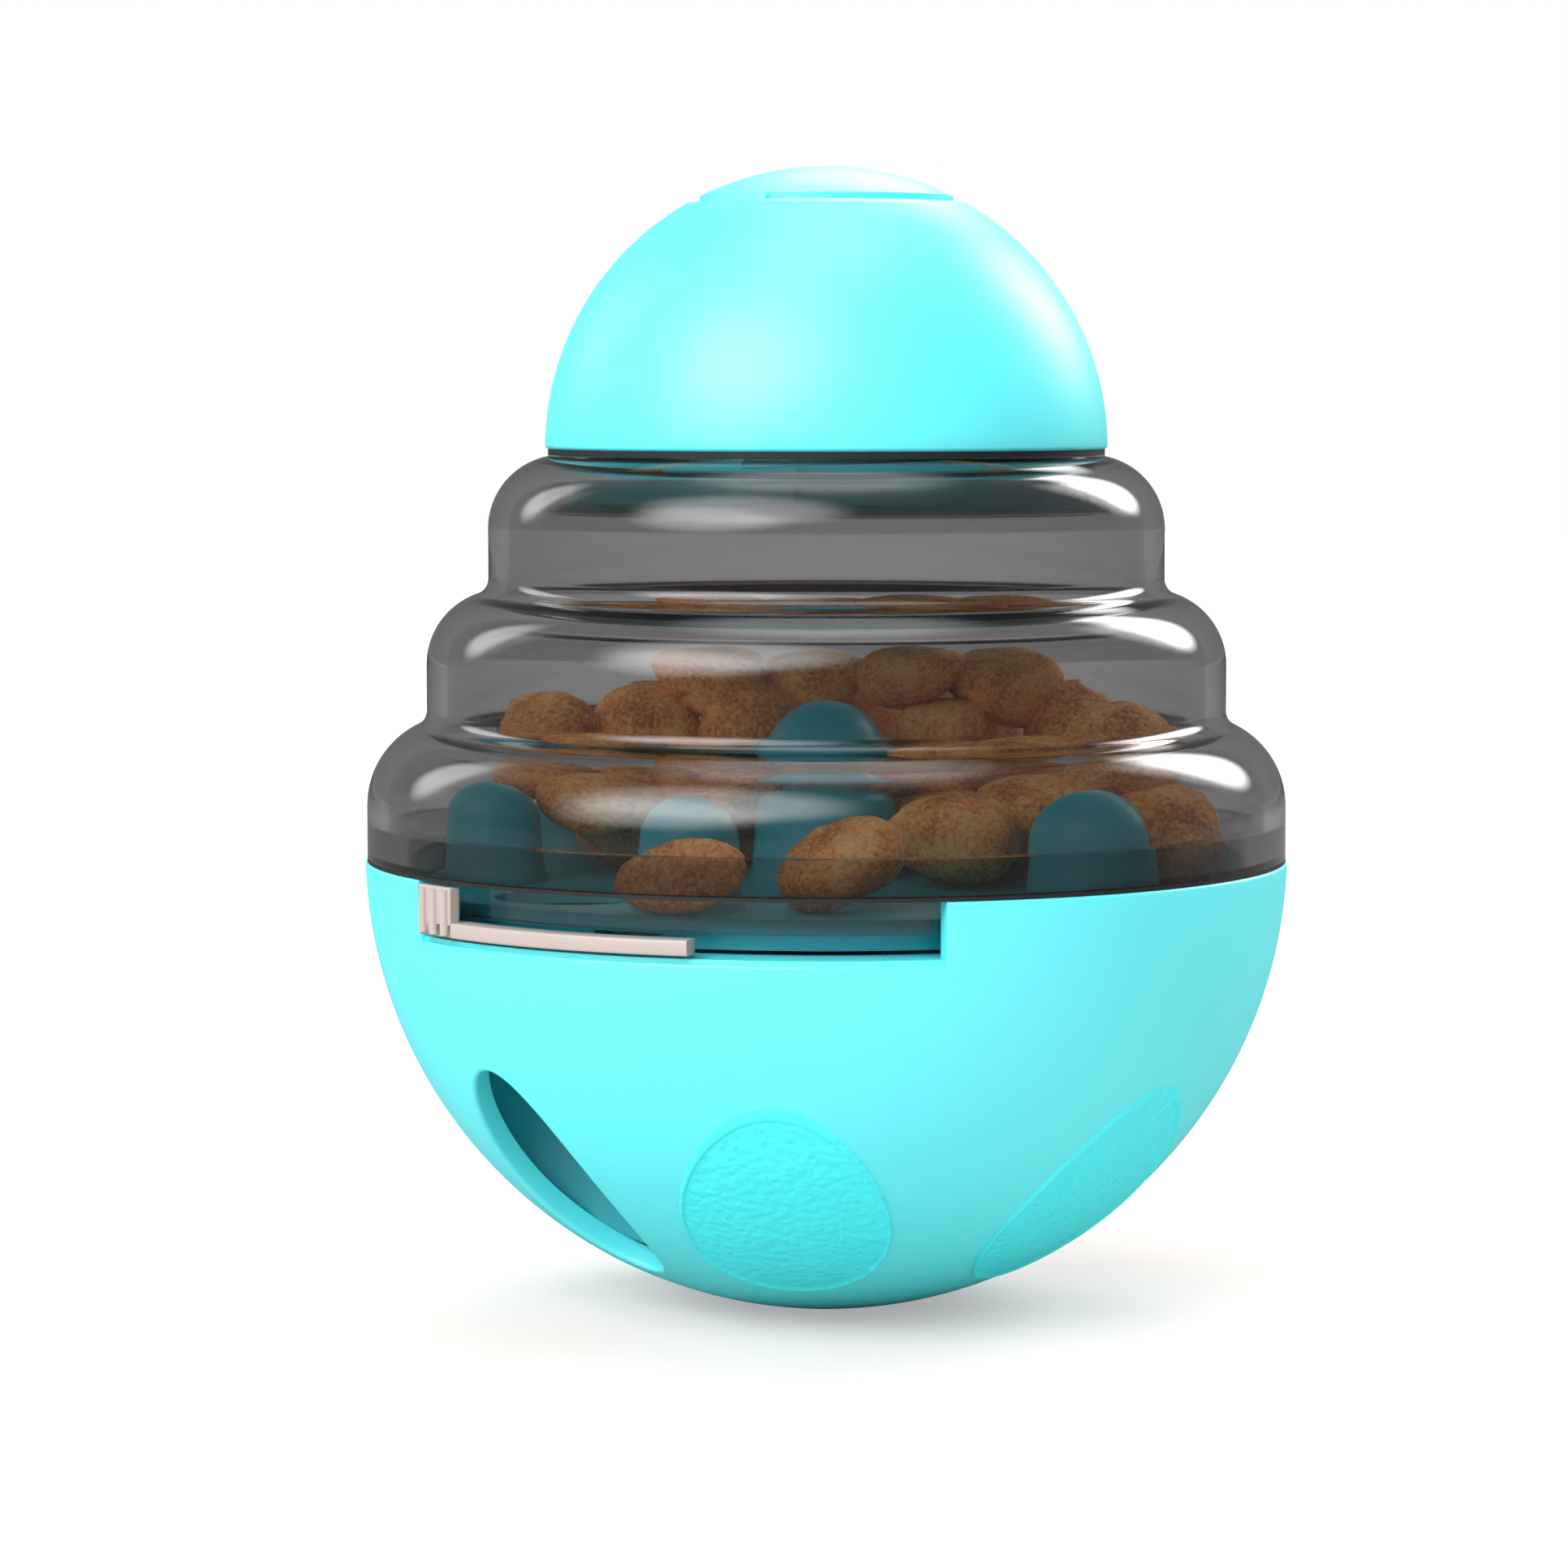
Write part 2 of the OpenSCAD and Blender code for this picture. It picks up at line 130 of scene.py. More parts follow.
def add_node(
    tree: NodeTree,
    kind: str,
    values: dict[str | int, object] | None = None,
    links: dict[str | int, Socket] | None = None,
    **settings: object,
) -> bpy.types.Node:
    """Adds a node with its settings, socket values and links.

    Args:
        tree: Node tree to add to.
        kind: Node type name.
        values: Input name or index to a constant.
        links: Input name or index to the output socket that feeds it.
        **settings: Attributes of the node itself.

    Returns:
        The new node.
    """
    node = tree.nodes.new(kind)
    for name, value in settings.items():
        setattr(node, name, value)
    for name, value in (values or {}).items():
        node.inputs[name].default_value = value
    for name, socket in (links or {}).items():
        tree.links.new(socket, node.inputs[name])
    return node


def bare_material(name: str) -> tuple[Material, NodeTree]:
    """Makes a material with an empty node tree.

    Args:
        name: Name of the material.

    Returns:
        The material and its tree.
    """
    material = bpy.data.materials.new(name)
    material.use_nodes = True
    material.node_tree.nodes.clear()
    return material, material.node_tree


@dataclass(frozen=True)
class Finish:
    """A finish of the toy: each kind builds its own nodes, and they end in a material here."""

    name: str

    def surface(self, tree: NodeTree) -> Socket:
        """Builds the surface's nodes and gives its shader."""
        raise NotImplementedError

    def volume(self, tree: NodeTree) -> Socket | None:
        """Builds the nodes of what lies under the surface, if that shows."""
        return None

    def material(self) -> Material:
        """Builds the material."""
        material, tree = bare_material(self.name)
        links = {"Surface": self.surface(tree)}
        under = self.volume(tree)
        if under:
            links["Volume"] = under
        add_node(tree, "ShaderNodeOutputMaterial", links=links)
        return material


@dataclass(frozen=True)
class MouldedPlastic(Finish):
    """Injection moulded plastic: one even colour, a soft sheen and a faint texture from the mould."""

    colour: str
    roughness: float = 0.34
    ior: float = 1.53
    grain: float = 0.7 * MM
    grain_depth: float = 0.012 * MM
    grain_share: float = 0.35
    grain_detail: float = 2.0
    sheen: float = 0.5
    glow: float = 0.0
    glow_reach: float = 2.0 * MM
    glow_spread: tuple[float, float, float] = (0.6, 1.0, 1.0)

    def surface(self, tree: NodeTree) -> Socket:
        """Builds the surface's nodes and gives its shader."""
        place = add_node(tree, "ShaderNodeTexCoord").outputs["Object"]
        # The mould's own grain is finer than a pixel, so it is drawn at the smallest size that shows.
        values = {"Scale": 1 / self.grain, "Detail": self.grain_detail}
        grain = add_node(tree, "ShaderNodeTexNoise", values, {"Vector": place})
        bump = add_node(
            tree,
            "ShaderNodeBump",
            {"Strength": self.grain_share, "Distance": self.grain_depth},
            {"Height": grain.outputs["Fac"]},
        )
        values = {
            "Base Color": linear(self.colour),
            "Roughness": self.roughness,
            "IOR": self.ior,
            "Specular IOR Level": self.sheen,
            "Subsurface Weight": self.glow,
            "Subsurface Radius": self.glow_spread,
            "Subsurface Scale": self.glow_reach,
        }
        links = {"Normal": bump.outputs["Normal"]}
        return add_node(tree, "ShaderNodeBsdfPrincipled", values, links).outputs[0]


@dataclass(frozen=True)
class PebbledRubber(Finish):
    """Soft moulded rubber with a leather-like pebble, so that it grips: smooth bumps with creases."""

    colour: str
    pebble: float = 0.95 * MM
    warp_share: float = 0.5
    warp_detail: float = 1.0
    relief: float = 0.2 * MM
    relief_share: float = 0.8
    softness: float = 0.6
    roughness: float = 0.42
    ior: float = 1.5

    def surface(self, tree: NodeTree) -> Socket:
        """Builds the surface's nodes and gives its shader."""
        place = add_node(tree, "ShaderNodeTexCoord").outputs["Object"]
        # A slow noise pushes the pebbles out of line, so that they don't stand in rows.
        values = {"Scale": self.warp_share / self.pebble, "Detail": self.warp_detail}
        warp = add_node(tree, "ShaderNodeTexNoise", values, {"Vector": place})
        shift = add_node(
            tree,
            "ShaderNodeVectorMath",
            {1: (self.pebble,) * 3},
            {0: warp.outputs["Color"]},
            operation="MULTIPLY",
        )
        links = {0: place, 1: shift.outputs[0]}
        moved = add_node(tree, "ShaderNodeVectorMath", links=links, operation="ADD")
        pebbles = add_node(
            tree,
            "ShaderNodeTexVoronoi",
            {"Scale": 1 / self.pebble, "Smoothness": self.softness},
            {"Vector": moved.outputs[0]},
            feature="SMOOTH_F1",
        )
        bump = add_node(
            tree,
            "ShaderNodeBump",
            {"Strength": self.relief_share, "Distance": self.relief},
            {"Height": pebbles.outputs["Distance"]},
            invert=True,
        )
        values = {"Base Color": linear(self.colour), "Roughness": self.roughness, "IOR": self.ior}
        links = {"Normal": bump.outputs["Normal"]}
        return add_node(tree, "ShaderNodeBsdfPrincipled", values, links).outputs[0]


@dataclass(frozen=True)
class SmokeClear(Finish):
    """Clear smoke-tinted acrylic: glossy skin, grey through the wall, darker where it is seen edge on."""

    tint: str
    lamp_tint: str
    wall: float = 2.2 * MM
    passes: float = 0.66
    roughness: float = 0.03
    ior: float = 1.49

    def surface(self, tree: NodeTree) -> Socket:
        """Builds the skin. Lamps shine through it, so that what is inside stays lit."""
        values = {
            "Base Color": linear(self.tint),
            "Roughness": self.roughness,
            "IOR": self.ior,
            "Transmission Weight": 1.0,
        }
        shader = add_node(tree, "ShaderNodeBsdfPrincipled", values)
        passing = add_node(tree, "ShaderNodeBsdfTransparent", {"Color": linear(self.lamp_tint)})
        path = add_node(tree, "ShaderNodeLightPath")
        links = {0: path.outputs["Is Shadow Ray"], 1: shader.outputs[0], 2: passing.outputs[0]}
        return add_node(tree, "ShaderNodeMixShader", links=links).outputs[0]

    def volume(self, tree: NodeTree) -> Socket:
        """Builds the dye, which darkens long ways through the wall: the rim, the creases and the edges."""
        values = {"Color": linear(BLACK), "Density": -math.log(self.passes) / self.wall}
        return add_node(tree, "ShaderNodeVolumeAbsorption", values).outputs[0]


@dataclass(frozen=True)
class BakedKibble(Finish):
    """Baked dry pet food: dull brown crust, coarse grit, paler and darker crumbs."""

    dark: str
    middle: str
    pale: str
    levels: tuple[float, float, float] = (0.4, 0.5, 0.62)
    patch: float = 5.0 * MM
    patch_detail: float = 3.0
    grit: float = 0.55 * MM
    grit_detail: float = 4.0
    grit_rough: float = 0.7
    grit_share: float = 0.6
    relief: float = 0.3 * MM
    relief_share: float = 0.8
    roughness: float = 0.8
    ior: float = 1.45

    def surface(self, tree: NodeTree) -> Socket:
        """Builds the surface's nodes and gives its shader."""
        place = add_node(tree, "ShaderNodeTexCoord").outputs["Object"]
        values = {"Scale": 1 / self.patch, "Detail": self.patch_detail}
        patches = add_node(tree, "ShaderNodeTexNoise", values, {"Vector": place})
        values = {"Scale": 1 / self.grit, "Detail": self.grit_detail, "Roughness": self.grit_rough}
        crumbs = add_node(tree, "ShaderNodeTexNoise", values, {"Vector": place})
        level = add_node(
            tree,
            "ShaderNodeMix",
            {"Factor": self.grit_share},
            {"A": patches.outputs["Fac"], "B": crumbs.outputs["Fac"]},
        )
        ramp = add_node(tree, "ShaderNodeValToRGB", links={"Fac": level.outputs["Result"]})
        stops = ramp.color_ramp.elements
        low, mid, high = self.levels
        stops[0].position, stops[0].color = low, linear(self.dark)
        stops[1].position, stops[1].color = high, linear(self.pale)
        stops.new(mid).color = linear(self.middle)
        bump = add_node(
            tree,
            "ShaderNodeBump",
            {"Strength": self.relief_share, "Distance": self.relief},
            {"Height": crumbs.outputs["Fac"]},
        )
        return add_node(
            tree,
            "ShaderNodeBsdfPrincipled",
            {"Roughness": self.roughness, "IOR": self.ior},
            {"Base Color": ramp.outputs["Color"], "Normal": bump.outputs["Normal"]},
        ).outputs[0]


@dataclass(frozen=True)
class PlainFinish(Finish):
    """An even finish with nothing to see but its colour and sheen."""

    colour: str
    roughness: float
    metallic: float = 0.0

    def surface(self, tree: NodeTree) -> Socket:
        """Builds the surface's nodes and gives its shader."""
        values = {"Base Color": linear(self.colour), "Roughness": self.roughness, "Metallic": self.metallic}
        return add_node(tree, "ShaderNodeBsdfPrincipled", values).outputs[0]


class Finishes:
    """The materials of the toy, each made once."""

    def __init__(self) -> None:
        """Makes every material."""
        # ABS from a satin mould: bright aqua, with a soft sheen.
        satin = MouldedPlastic("aqua_satin_abs", "#56EEF8", roughness=0.43, sheen=0.9, glow=0.08)
        self.aqua = satin.material()
        # The same plastic a little deeper, the own colour of the tray and the parts inside the toy. On the
        # chutes it is painted shade: they are the cup's own aqua, darkened for the shade inside the exit
        # slots.
        self.deep_aqua = MouldedPlastic("deep_aqua_abs", "#219BA9", roughness=0.35).material()
        # Thermoplastic rubber with a pebbled skin.
        self.grip = PebbledRubber("aqua_pebbled_rubber", "#40F0F8").material()
        # Uncoloured ABS, warm pale grey.
        self.pale_grey = MouldedPlastic("pale_grey_abs", "#B0A7A2", roughness=0.4).material()
        # Acrylic with a grey dye.
        self.smoke = SmokeClear("smoke_acrylic", "#C6C6C7", WHITE).material()
        # Baked pet food, in colours lighter and more saturated than the treats' own: painted light that
        # makes up for the dimmer light inside the dome.
        self.kibble = BakedKibble("baked_kibble", "#AA5E24", "#F39F4A", "#FFCE88").material()
        # Nitrile seals, dull black.
        self.rubber = PlainFinish("nitrile_rubber", "#1E2021", 0.7).material()
        # Turned mild steel, and zinc on the screws.
        self.ballast = PlainFinish("turned_mild_steel", "#8A8D90", 0.35, 1.0).material()
        self.screw = PlainFinish("zinc_plated_steel", "#A9ACAE", 0.3, 1.0).material()


class ProfilePen:
    """Draws a profile in the XZ half-plane, line by line and arc by arc, then spins it round the Z axis."""

    def __init__(self, r: float, z: float, mesh: Mesh | None = None) -> None:
        """Puts the pen down.

        Args:
            r: Distance from the axis.
            z: Height.
            mesh: A profile to add to, if any.
        """
        self.mesh = mesh or bmesh.new()
        self.start = self.tip = self.mesh.verts.new((r, 0, z))

    def line_to(self, r: float, z: float) -> ProfilePen:
        """Draws a straight line to a point."""
        point = self.mesh.verts.new((r, 0, z))
        self.mesh.edges.new((self.tip, point))
        self.tip = point
        return self

    def arc(self, r: float, z: float, degrees: float, steps: int) -> ProfilePen:
        """Turns the tip about a centre.

        Args:
            r: Centre's distance from the axis.
            z: Centre's height.
            degrees: Turn, positive from outwards to upwards.
            steps: Number of chords.

        Returns:
            The pen itself.
        """
        spun = bmesh.ops.spin(
            self.mesh,
            geom=[self.tip],
            cent=(r, 0, z),
            axis=(0, 1, 0),
            angle=-math.radians(degrees),
            steps=steps,
        )
        self.tip = next(v for v in spun["geom_last"] if isinstance(v, Vert))
        return self

    def join(self, other: ProfilePen) -> ProfilePen:
        """Closes the outline with another pen's, end to end and start to start."""
        self.mesh.edges.new((self.tip, other.tip))
        self.mesh.edges.new((self.start, other.start))
        return self

    def close(self) -> ProfilePen:
        """Closes the outline."""
        self.mesh.edges.new((self.tip, self.start))
        return self

    def spin(self, steps: int, start: float = 0.0, span: float = FULL_TURN, rise: float = 0.0) -> Mesh:
        """Spins the profile round the toy's axis.

        Args:
            steps: Number of facets.
            start: Bearing that the turn starts from.
            span: Degrees to turn.
            rise: How far a screw climbs on the way.

        Returns:
            The spun mesh, still open at the ends of a part turn.
        """
        mesh = self.mesh
        turn = Matrix.Rotation(math.radians(start - 90), 3, "Z")
        bmesh.ops.rotate(mesh, verts=mesh.verts, cent=(0, 0, 0), matrix=turn)
        bmesh.ops.spin(
            mesh,
            geom=mesh.verts[:] + mesh.edges[:],
            axis=(0, 0, 1),
            cent=(0, 0, 0),
            dvec=(0, 0, rise / steps),
            angle=math.radians(span),
            steps=steps,
            use_merge=span >= FULL_TURN,
        )
        return mesh


def cylinder(radius: float, depth: float, segments: int) -> Mesh:
    """A closed cylinder round the Z axis, with its middle at the origin."""
    mesh = bmesh.new()
    bmesh.ops.create_cone(
        mesh, segments=segments, radius1=radius, radius2=radius, depth=depth, cap_ends=True
    )
    return mesh


def tidy(mesh: Mesh, fill: bool = False) -> Mesh:
    """Merges doubles, fills open ends if asked and turns all faces outwards.

    Args:
        mesh: Mesh to tidy.
        fill: Whether open loops become faces.

    Returns:
        The same mesh.
    """
    bmesh.ops.remove_doubles(mesh, verts=mesh.verts, dist=MERGE_DISTANCE)
    bmesh.ops.dissolve_degenerate(mesh, edges=mesh.edges, dist=MERGE_DISTANCE)
    if fill:
        bmesh.ops.holes_fill(mesh, edges=[e for e in mesh.edges if e.is_boundary], sides=0)
    bmesh.ops.recalc_face_normals(mesh, faces=mesh.faces)
    return mesh


def joined(*meshes: Mesh) -> Mesh:
    """Gathers several meshes into the first one and frees the rest."""
    first, *rest = meshes
    for mesh in rest:
        held = bpy.data.meshes.new("held")
        mesh.to_mesh(held)
        first.from_mesh(held)
        mesh.free()
        bpy.data.meshes.remove(held)
    return first


def placed(mesh: Mesh, matrix: Matrix) -> Mesh:
    """Moves a mesh by a matrix."""
    bmesh.ops.transform(mesh, matrix=matrix, verts=mesh.verts)
    return mesh


def outwards(bearing: float, offset: float = 0.0, height: float = 0.0) -> Matrix:
    """Matrix that puts a drawing at a bearing, with its +X pointing away from the axis."""
    turn = Matrix.Rotation(math.radians(bearing - 90), 4, "Z")
    return turn @ Matrix.Translation((offset, 0, height))


def as_object(mesh: Mesh, name: str) -> Piece:
    """Turns a mesh into a linked object with smooth faces and sharp creases.

    Args:
        mesh: Mesh to store; it is freed.
        name: Name of the object.

    Returns:
        The new object.
    """
    data = bpy.data.meshes.new(name)
    mesh.to_mesh(data)
    mesh.free()
    piece = bpy.data.objects.new(name, data)
    bpy.context.collection.objects.link(piece)
    smooth(piece)
    return piece


def smooth(piece: Piece) -> None:
    """Shades a piece smooth, with its creases kept sharp."""
    piece.data.shade_smooth()
    piece.data.set_sharp_from_angle(angle=SHARP_ANGLE)


def carve(piece: Piece, cutters: list[Piece]) -> None:
    """Cuts pieces out of another and removes the cutters.

    Args:
        piece: Piece to cut.
        cutters: Closed shapes to take away.
    """
    for cutter in cutters:
        cut = piece.modifiers.new("cut", "BOOLEAN")
        cut.operation = "DIFFERENCE"
        cut.solver = "EXACT"
        cut.object = cutter
    shown = piece.evaluated_get(bpy.context.evaluated_depsgraph_get())
    carved = bpy.data.meshes.new_from_object(shown)
    piece.modifiers.clear()
    old = piece.data
    piece.data = carved
    bpy.data.meshes.remove(old)
    for cutter in cutters:
        bpy.data.objects.remove(cutter)
    smooth(piece)


def dress(
    piece: Piece,
    material: Material,
    body: Body,
    slot: Slot | None,
    *nodes: str,
) -> Piece:
    """Gives a piece its material and body, and hides the CAD nodes that it stands for.

    Args:
        piece: The finished piece.
        material: Its material.
        body: Body that it rides on.
        slot: Slot of the record, if it has one; not used.
        *nodes: CAD nodes that it replaces.

    Returns:
        The same piece.
    """
    piece.data.materials.clear()
    piece.data.materials.append(material)
    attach(piece, body.value)
    if nodes:
        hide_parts(*nodes)
    LOG.info("%s rides on %s: %d faces", piece.name, body.value, len(piece.data.polygons))
    return piece


@dataclass
class Cup:
    """The weighted round cup with its rim notch, exit slots, chutes and grip pads."""

    radius: float = 50 * MM
    wall: float = 2.4 * MM
    foot_r: float = 7 * MM
    seat_wall: float = 2.6 * MM
    shelf_in: float = 43.4 * MM
    shelf_t: float = 1.8 * MM
    notch_depth: float = 5.9 * MM
    notch_left: float = -58.5
    notch_right: float = 13.5
    edge_round: float = 0.4 * MM
    slot_bearings: tuple[float, float] = (-51.0, 129.0)
    slot_angle: float = 43.0
    slot_l: float = 31.4 * MM
    slot_w: float = 14.9 * MM
    lip_round: float = 0.6 * MM
    chute_offset: float = 35 * MM
    chute_r: float = 10 * MM
    chute_wall: float = 1.4 * MM
    pillar_r: float = 6 * MM
    pillar_bore: float = 2.8 * MM
    boss_r: float = 3.2 * MM
    boss_bore: float = 1.05 * MM
    boss_offset: float = 26 * MM
    boss_bearing: float = -8
    pad_offset: float = 33.8 * MM
    pad_r: float = 11 * MM
    pad_proud: float = 0.3 * MM
    pad_ridge: float = 0.55 * MM
    pad_depth: float = 0.4 * MM
    # Of the ridge: share of its width in from the edge, and share of its height.
    ridge_shape: tuple[tuple[float, float], ...] = ((0.7, 0.9), (0.4, 1.0), (0.15, 0.6))
    pad_rings: int = 24
    facets: int = 240
    side_steps: int = 56
    inner_steps: int = 48
    rim_steps: int = 5
    edge_steps: int = 4
    bevel_steps: int = 3
    lip_steps: int = 8
    boss_count: int = 4
    tube_facets: int = 72
    pads: dict[str, float] = field(
        default_factory=lambda: {
            "grip_pad_front": -7.5,
            "grip_pad_right": 51.0,
            "grip_pad_rear": 172.5,
            "grip_pad_left": 231.0,
        }
    )

    def __post_init__(self) -> None:
        """Reads the levels from the frame."""
        self.centre_z = math.sqrt(self.radius**2 - self.foot_r**2)
        self.rim_z = top_of("base_cup")
        self.notch_z = self.rim_z - self.notch_depth

    def outline(self, notched: bool) -> ProfilePen:
        """Draws half of the cup's section.

        Args:
            notched: Whether the rim is cut down to the notch.

        Returns:
            A closed profile.
        """
        inner = self.radius - self.wall
        seat = self.radius - self.seat_wall
        edge = self.edge_round
        split_z = self.notch_z - 2 * edge
        foot = -math.degrees(math.acos(self.foot_r / self.radius))
        split = math.degrees(math.asin((split_z - self.centre_z) / self.radius))
        rim = math.degrees(math.asin((self.rim_z - edge - self.centre_z) / self.radius))
        pen = ProfilePen(0, 0).line_to(self.foot_r, 0)
        pen.arc(0, self.centre_z, split - foot, self.side_steps)
        if notched:
            pen.arc(pen.tip.co.x - edge, pen.tip.co.z, 90, self.edge_steps)
            pen.line_to(pen.tip.co.x, self.notch_z)
        else:
            pen.arc(0, self.centre_z, rim - split, self.rim_steps)
            pen.arc(pen.tip.co.x - edge, pen.tip.co.z, 90, self.edge_steps)
            pen.line_to(seat + edge, self.rim_z)
            pen.arc(seat + edge, self.rim_z - edge, 90, self.edge_steps)
        shelf_foot = self.notch_z - self.shelf_t
        wall_r = math.sqrt(inner**2 - (shelf_foot - self.centre_z) ** 2)
        pen.line_to(seat, self.notch_z).line_to(self.shelf_in, self.notch_z)
        pen.line_to(self.shelf_in, shelf_foot).line_to(wall_r, shelf_foot)
        fall = math.degrees(math.asin((shelf_foot - self.centre_z) / inner))
        pen.arc(0, self.centre_z, -90 - fall, self.inner_steps)
        return pen.close()

    def shell(self) -> Mesh:
        """Spins the cup in two parts, with and without the notch, and rounds the notch's ends."""
        span = self.notch_right - self.notch_left
        cut_facets = round(self.facets * span / FULL_TURN)
        rest = FULL_TURN - span
        whole = self.outline(False).spin(self.facets - cut_facets, self.notch_right, rest)
        notch = self.outline(True).spin(cut_facets, self.notch_left, span)
        mesh = tidy(joined(whole, notch), fill=True)
        ends = [
            e
            for e in mesh.edges
            if e.calc_face_angle(0) > SHARP_ANGLE
            and all(v.co.z > self.notch_z - self.edge_round for v in e.verts)
            and max(len(f.verts) for f in e.link_faces) > 4
            and max(v.co.xy.length for v in e.verts) > self.radius - self.seat_wall + self.edge_round
        ]
        bmesh.ops.bevel(
            mesh,
            geom=ends,
            offset=self.edge_round / 2,
            affect="EDGES",
            segments=self.bevel_steps,
            profile=0.5,
            material=-1,
            clamp_overlap=True,
        )
        return mesh

    def slot_place(self, bearing: float) -> Matrix:
        """Matrix from an exit slot's own axes, with +Z out of the ball, to the toy's."""
        tilt = Matrix.Rotation(math.radians(90 + self.slot_angle), 4, "Y")
        return Matrix.Translation((0, 0, self.centre_z)) @ outwards(bearing) @ tilt

    def slot_cutter(self, bearing: float) -> Piece:
        """An oval plug as wide as a slot and its rounded lip."""
        mesh = cylinder(1, self.radius, self.facets // 2)
        long, wide = self.slot_l / 2 + self.lip_round, self.slot_w / 2 + self.lip_round
        bmesh.ops.scale(mesh, vec=(long, wide, 1), verts=mesh.verts)
        bmesh.ops.translate(mesh, vec=(0, 0, self.radius), verts=mesh.verts)
        return as_object(placed(mesh, self.slot_place(bearing)), "slot_cutter")

    def slot_lip(self, bearing: float) -> Mesh:
        """A rounded lip that leads from the cup's skin into an exit slot.

        Args:
            bearing: Bearing of the slot.

        Returns:
            A ring that follows the slot over the ball.
        """
        lip = self.lip_round
        turns = [math.radians(90 * k / self.lip_steps) for k in range(self.lip_steps + 1)]
        stations = [(lip * (1 - math.sin(t)), lip * (1 - math.cos(t))) for t in turns]
        stations += [(0, self.wall), (lip, self.wall)]
        mesh = bmesh.new()
        ring = bmesh.ops.create_circle(mesh, segments=self.facets // 2, radius=1)["verts"]
        rounds = {v: v.co.xy.copy() for v in ring}
        edges = mesh.edges[:]
        for index, (grow, depth) in enumerate(stations):
            if index:
                old = {tuple(v.co): way for v, way in rounds.items()}
                grown = bmesh.ops.extrude_edge_only(mesh, edges=edges)["geom"]
                rounds = {v: old[tuple(v.co)] for v in grown if isinstance(v, Vert)}
                edges = [e for e in grown if isinstance(e, Edge) and set(e.verts) <= rounds.keys()]
            for vert, way in rounds.items():
                x, y = (self.slot_l / 2 + grow) * way.x, (self.slot_w / 2 + grow) * way.y
                vert.co = (x, y, math.sqrt((self.radius - depth) ** 2 - x * x - y * y))
        bmesh.ops.recalc_face_normals(mesh, faces=mesh.faces)
        return placed(mesh, self.slot_place(bearing))

    def tube(self, bearing: float, offset: float, bore: float, radius: float, top: float) -> Mesh:
        """A tube that stands on the cup's inside.

        Args:
            bearing: Bearing of its axis.
            offset: How far its axis is from the middle.
            bore: Inner radius.
            radius: Outer radius.
            top: Height of its top.

        Returns:
            The tube, cut to the ball at its foot.
        """
        pen = ProfilePen(bore, 0).line_to(bore, top).line_to(radius, top).line_to(radius, 0)
        mesh = placed(tidy(pen.close().spin(self.tube_facets)), outwards(bearing, offset))
        inner = self.radius - self.wall
        for vert in mesh.verts:
            if vert.co.z < top / 2:
                vert.co.z = self.centre_z - math.sqrt(inner**2 - vert.co.xy.length_squared)
        return mesh

    def inside(self) -> Mesh:
        """The pillar that carries the tray and the bosses of the cover screws."""
        top = foot_of("ballast_cover")
        pitch = FULL_TURN / self.boss_count
        bearings = [self.boss_bearing + pitch * n for n in range(self.boss_count)]
        bosses = [self.tube(b, self.boss_offset, self.boss_bore, self.boss_r, top) for b in bearings]
        return joined(self.tube(0, 0, self.pillar_bore, self.pillar_r, foot_of("maze_tray")), *bosses)

    def pad(self, bearing: float) -> Mesh:
        """A grip pad with a raised edge, laid over the ball.

        Args:
            bearing: Bearing of the pad.

        Returns:
            The pad as a thin closed form.
        """
        ridge, proud = self.pad_ridge, self.pad_proud
        face = proud / 3
        pen = ProfilePen(0, face)
        for ring in range(1, self.pad_rings + 1):
            pen.line_to((self.pad_r - ridge) * ring / self.pad_rings, face)
        for inset, height in self.ridge_shape:
            pen.line_to(self.pad_r - inset * ridge, proud * height)
        pen.line_to(self.pad_r, -self.pad_depth).line_to(0, -self.pad_depth)
        mesh = placed(tidy(pen.spin(self.facets // 2)), outwards(bearing, self.pad_offset))
        for vert in mesh.verts:
            ball = self.radius + vert.co.z
            vert.co.z = self.centre_z - math.sqrt(ball**2 - vert.co.xy.length_squared)
        bmesh.ops.recalc_face_normals(mesh, faces=mesh.faces)
        return mesh

    def build(self, finishes: Finishes) -> None:
        """Builds and dresses the cup and its pads.

        Args:
            finishes: Materials of the toy.
        """
        cup = as_object(self.shell(), "cup")
        carve(cup, [self.slot_cutter(b) for b in self.slot_bearings])
        dress(cup, finishes.aqua, Body.BASE, Slot.AQUA, "base_cup")
        dress(as_object(self.inside(), "cup_pillar"), finishes.aqua, Body.BASE, Slot.AQUA)
        skin = self.chute_r + self.chute_wall
        for bearing, side in zip(self.slot_bearings, ("front", "rear")):
            lip = as_object(self.slot_lip(bearing), f"{side}_slot_lip")
            dress(lip, finishes.aqua, Body.BASE, Slot.AQUA)
            tube = self.tube(bearing, self.chute_offset, self.chute_r, skin, self.notch_z)
            chute = as_object(tube, f"{side}_chute")
            # Painted shade: the chutes are the cup's own aqua, given the deeper aqua so that the insides of
            # the exit slots look shaded.
            dress(chute, finishes.deep_aqua, Body.BASE, Slot.DEEP_AQUA)
        for node, bearing in self.pads.items():
            pad = as_object(self.pad(bearing), node.replace("grip_", ""))
            dress(pad, finishes.grip, Body.BASE, Slot.GRIP, node)


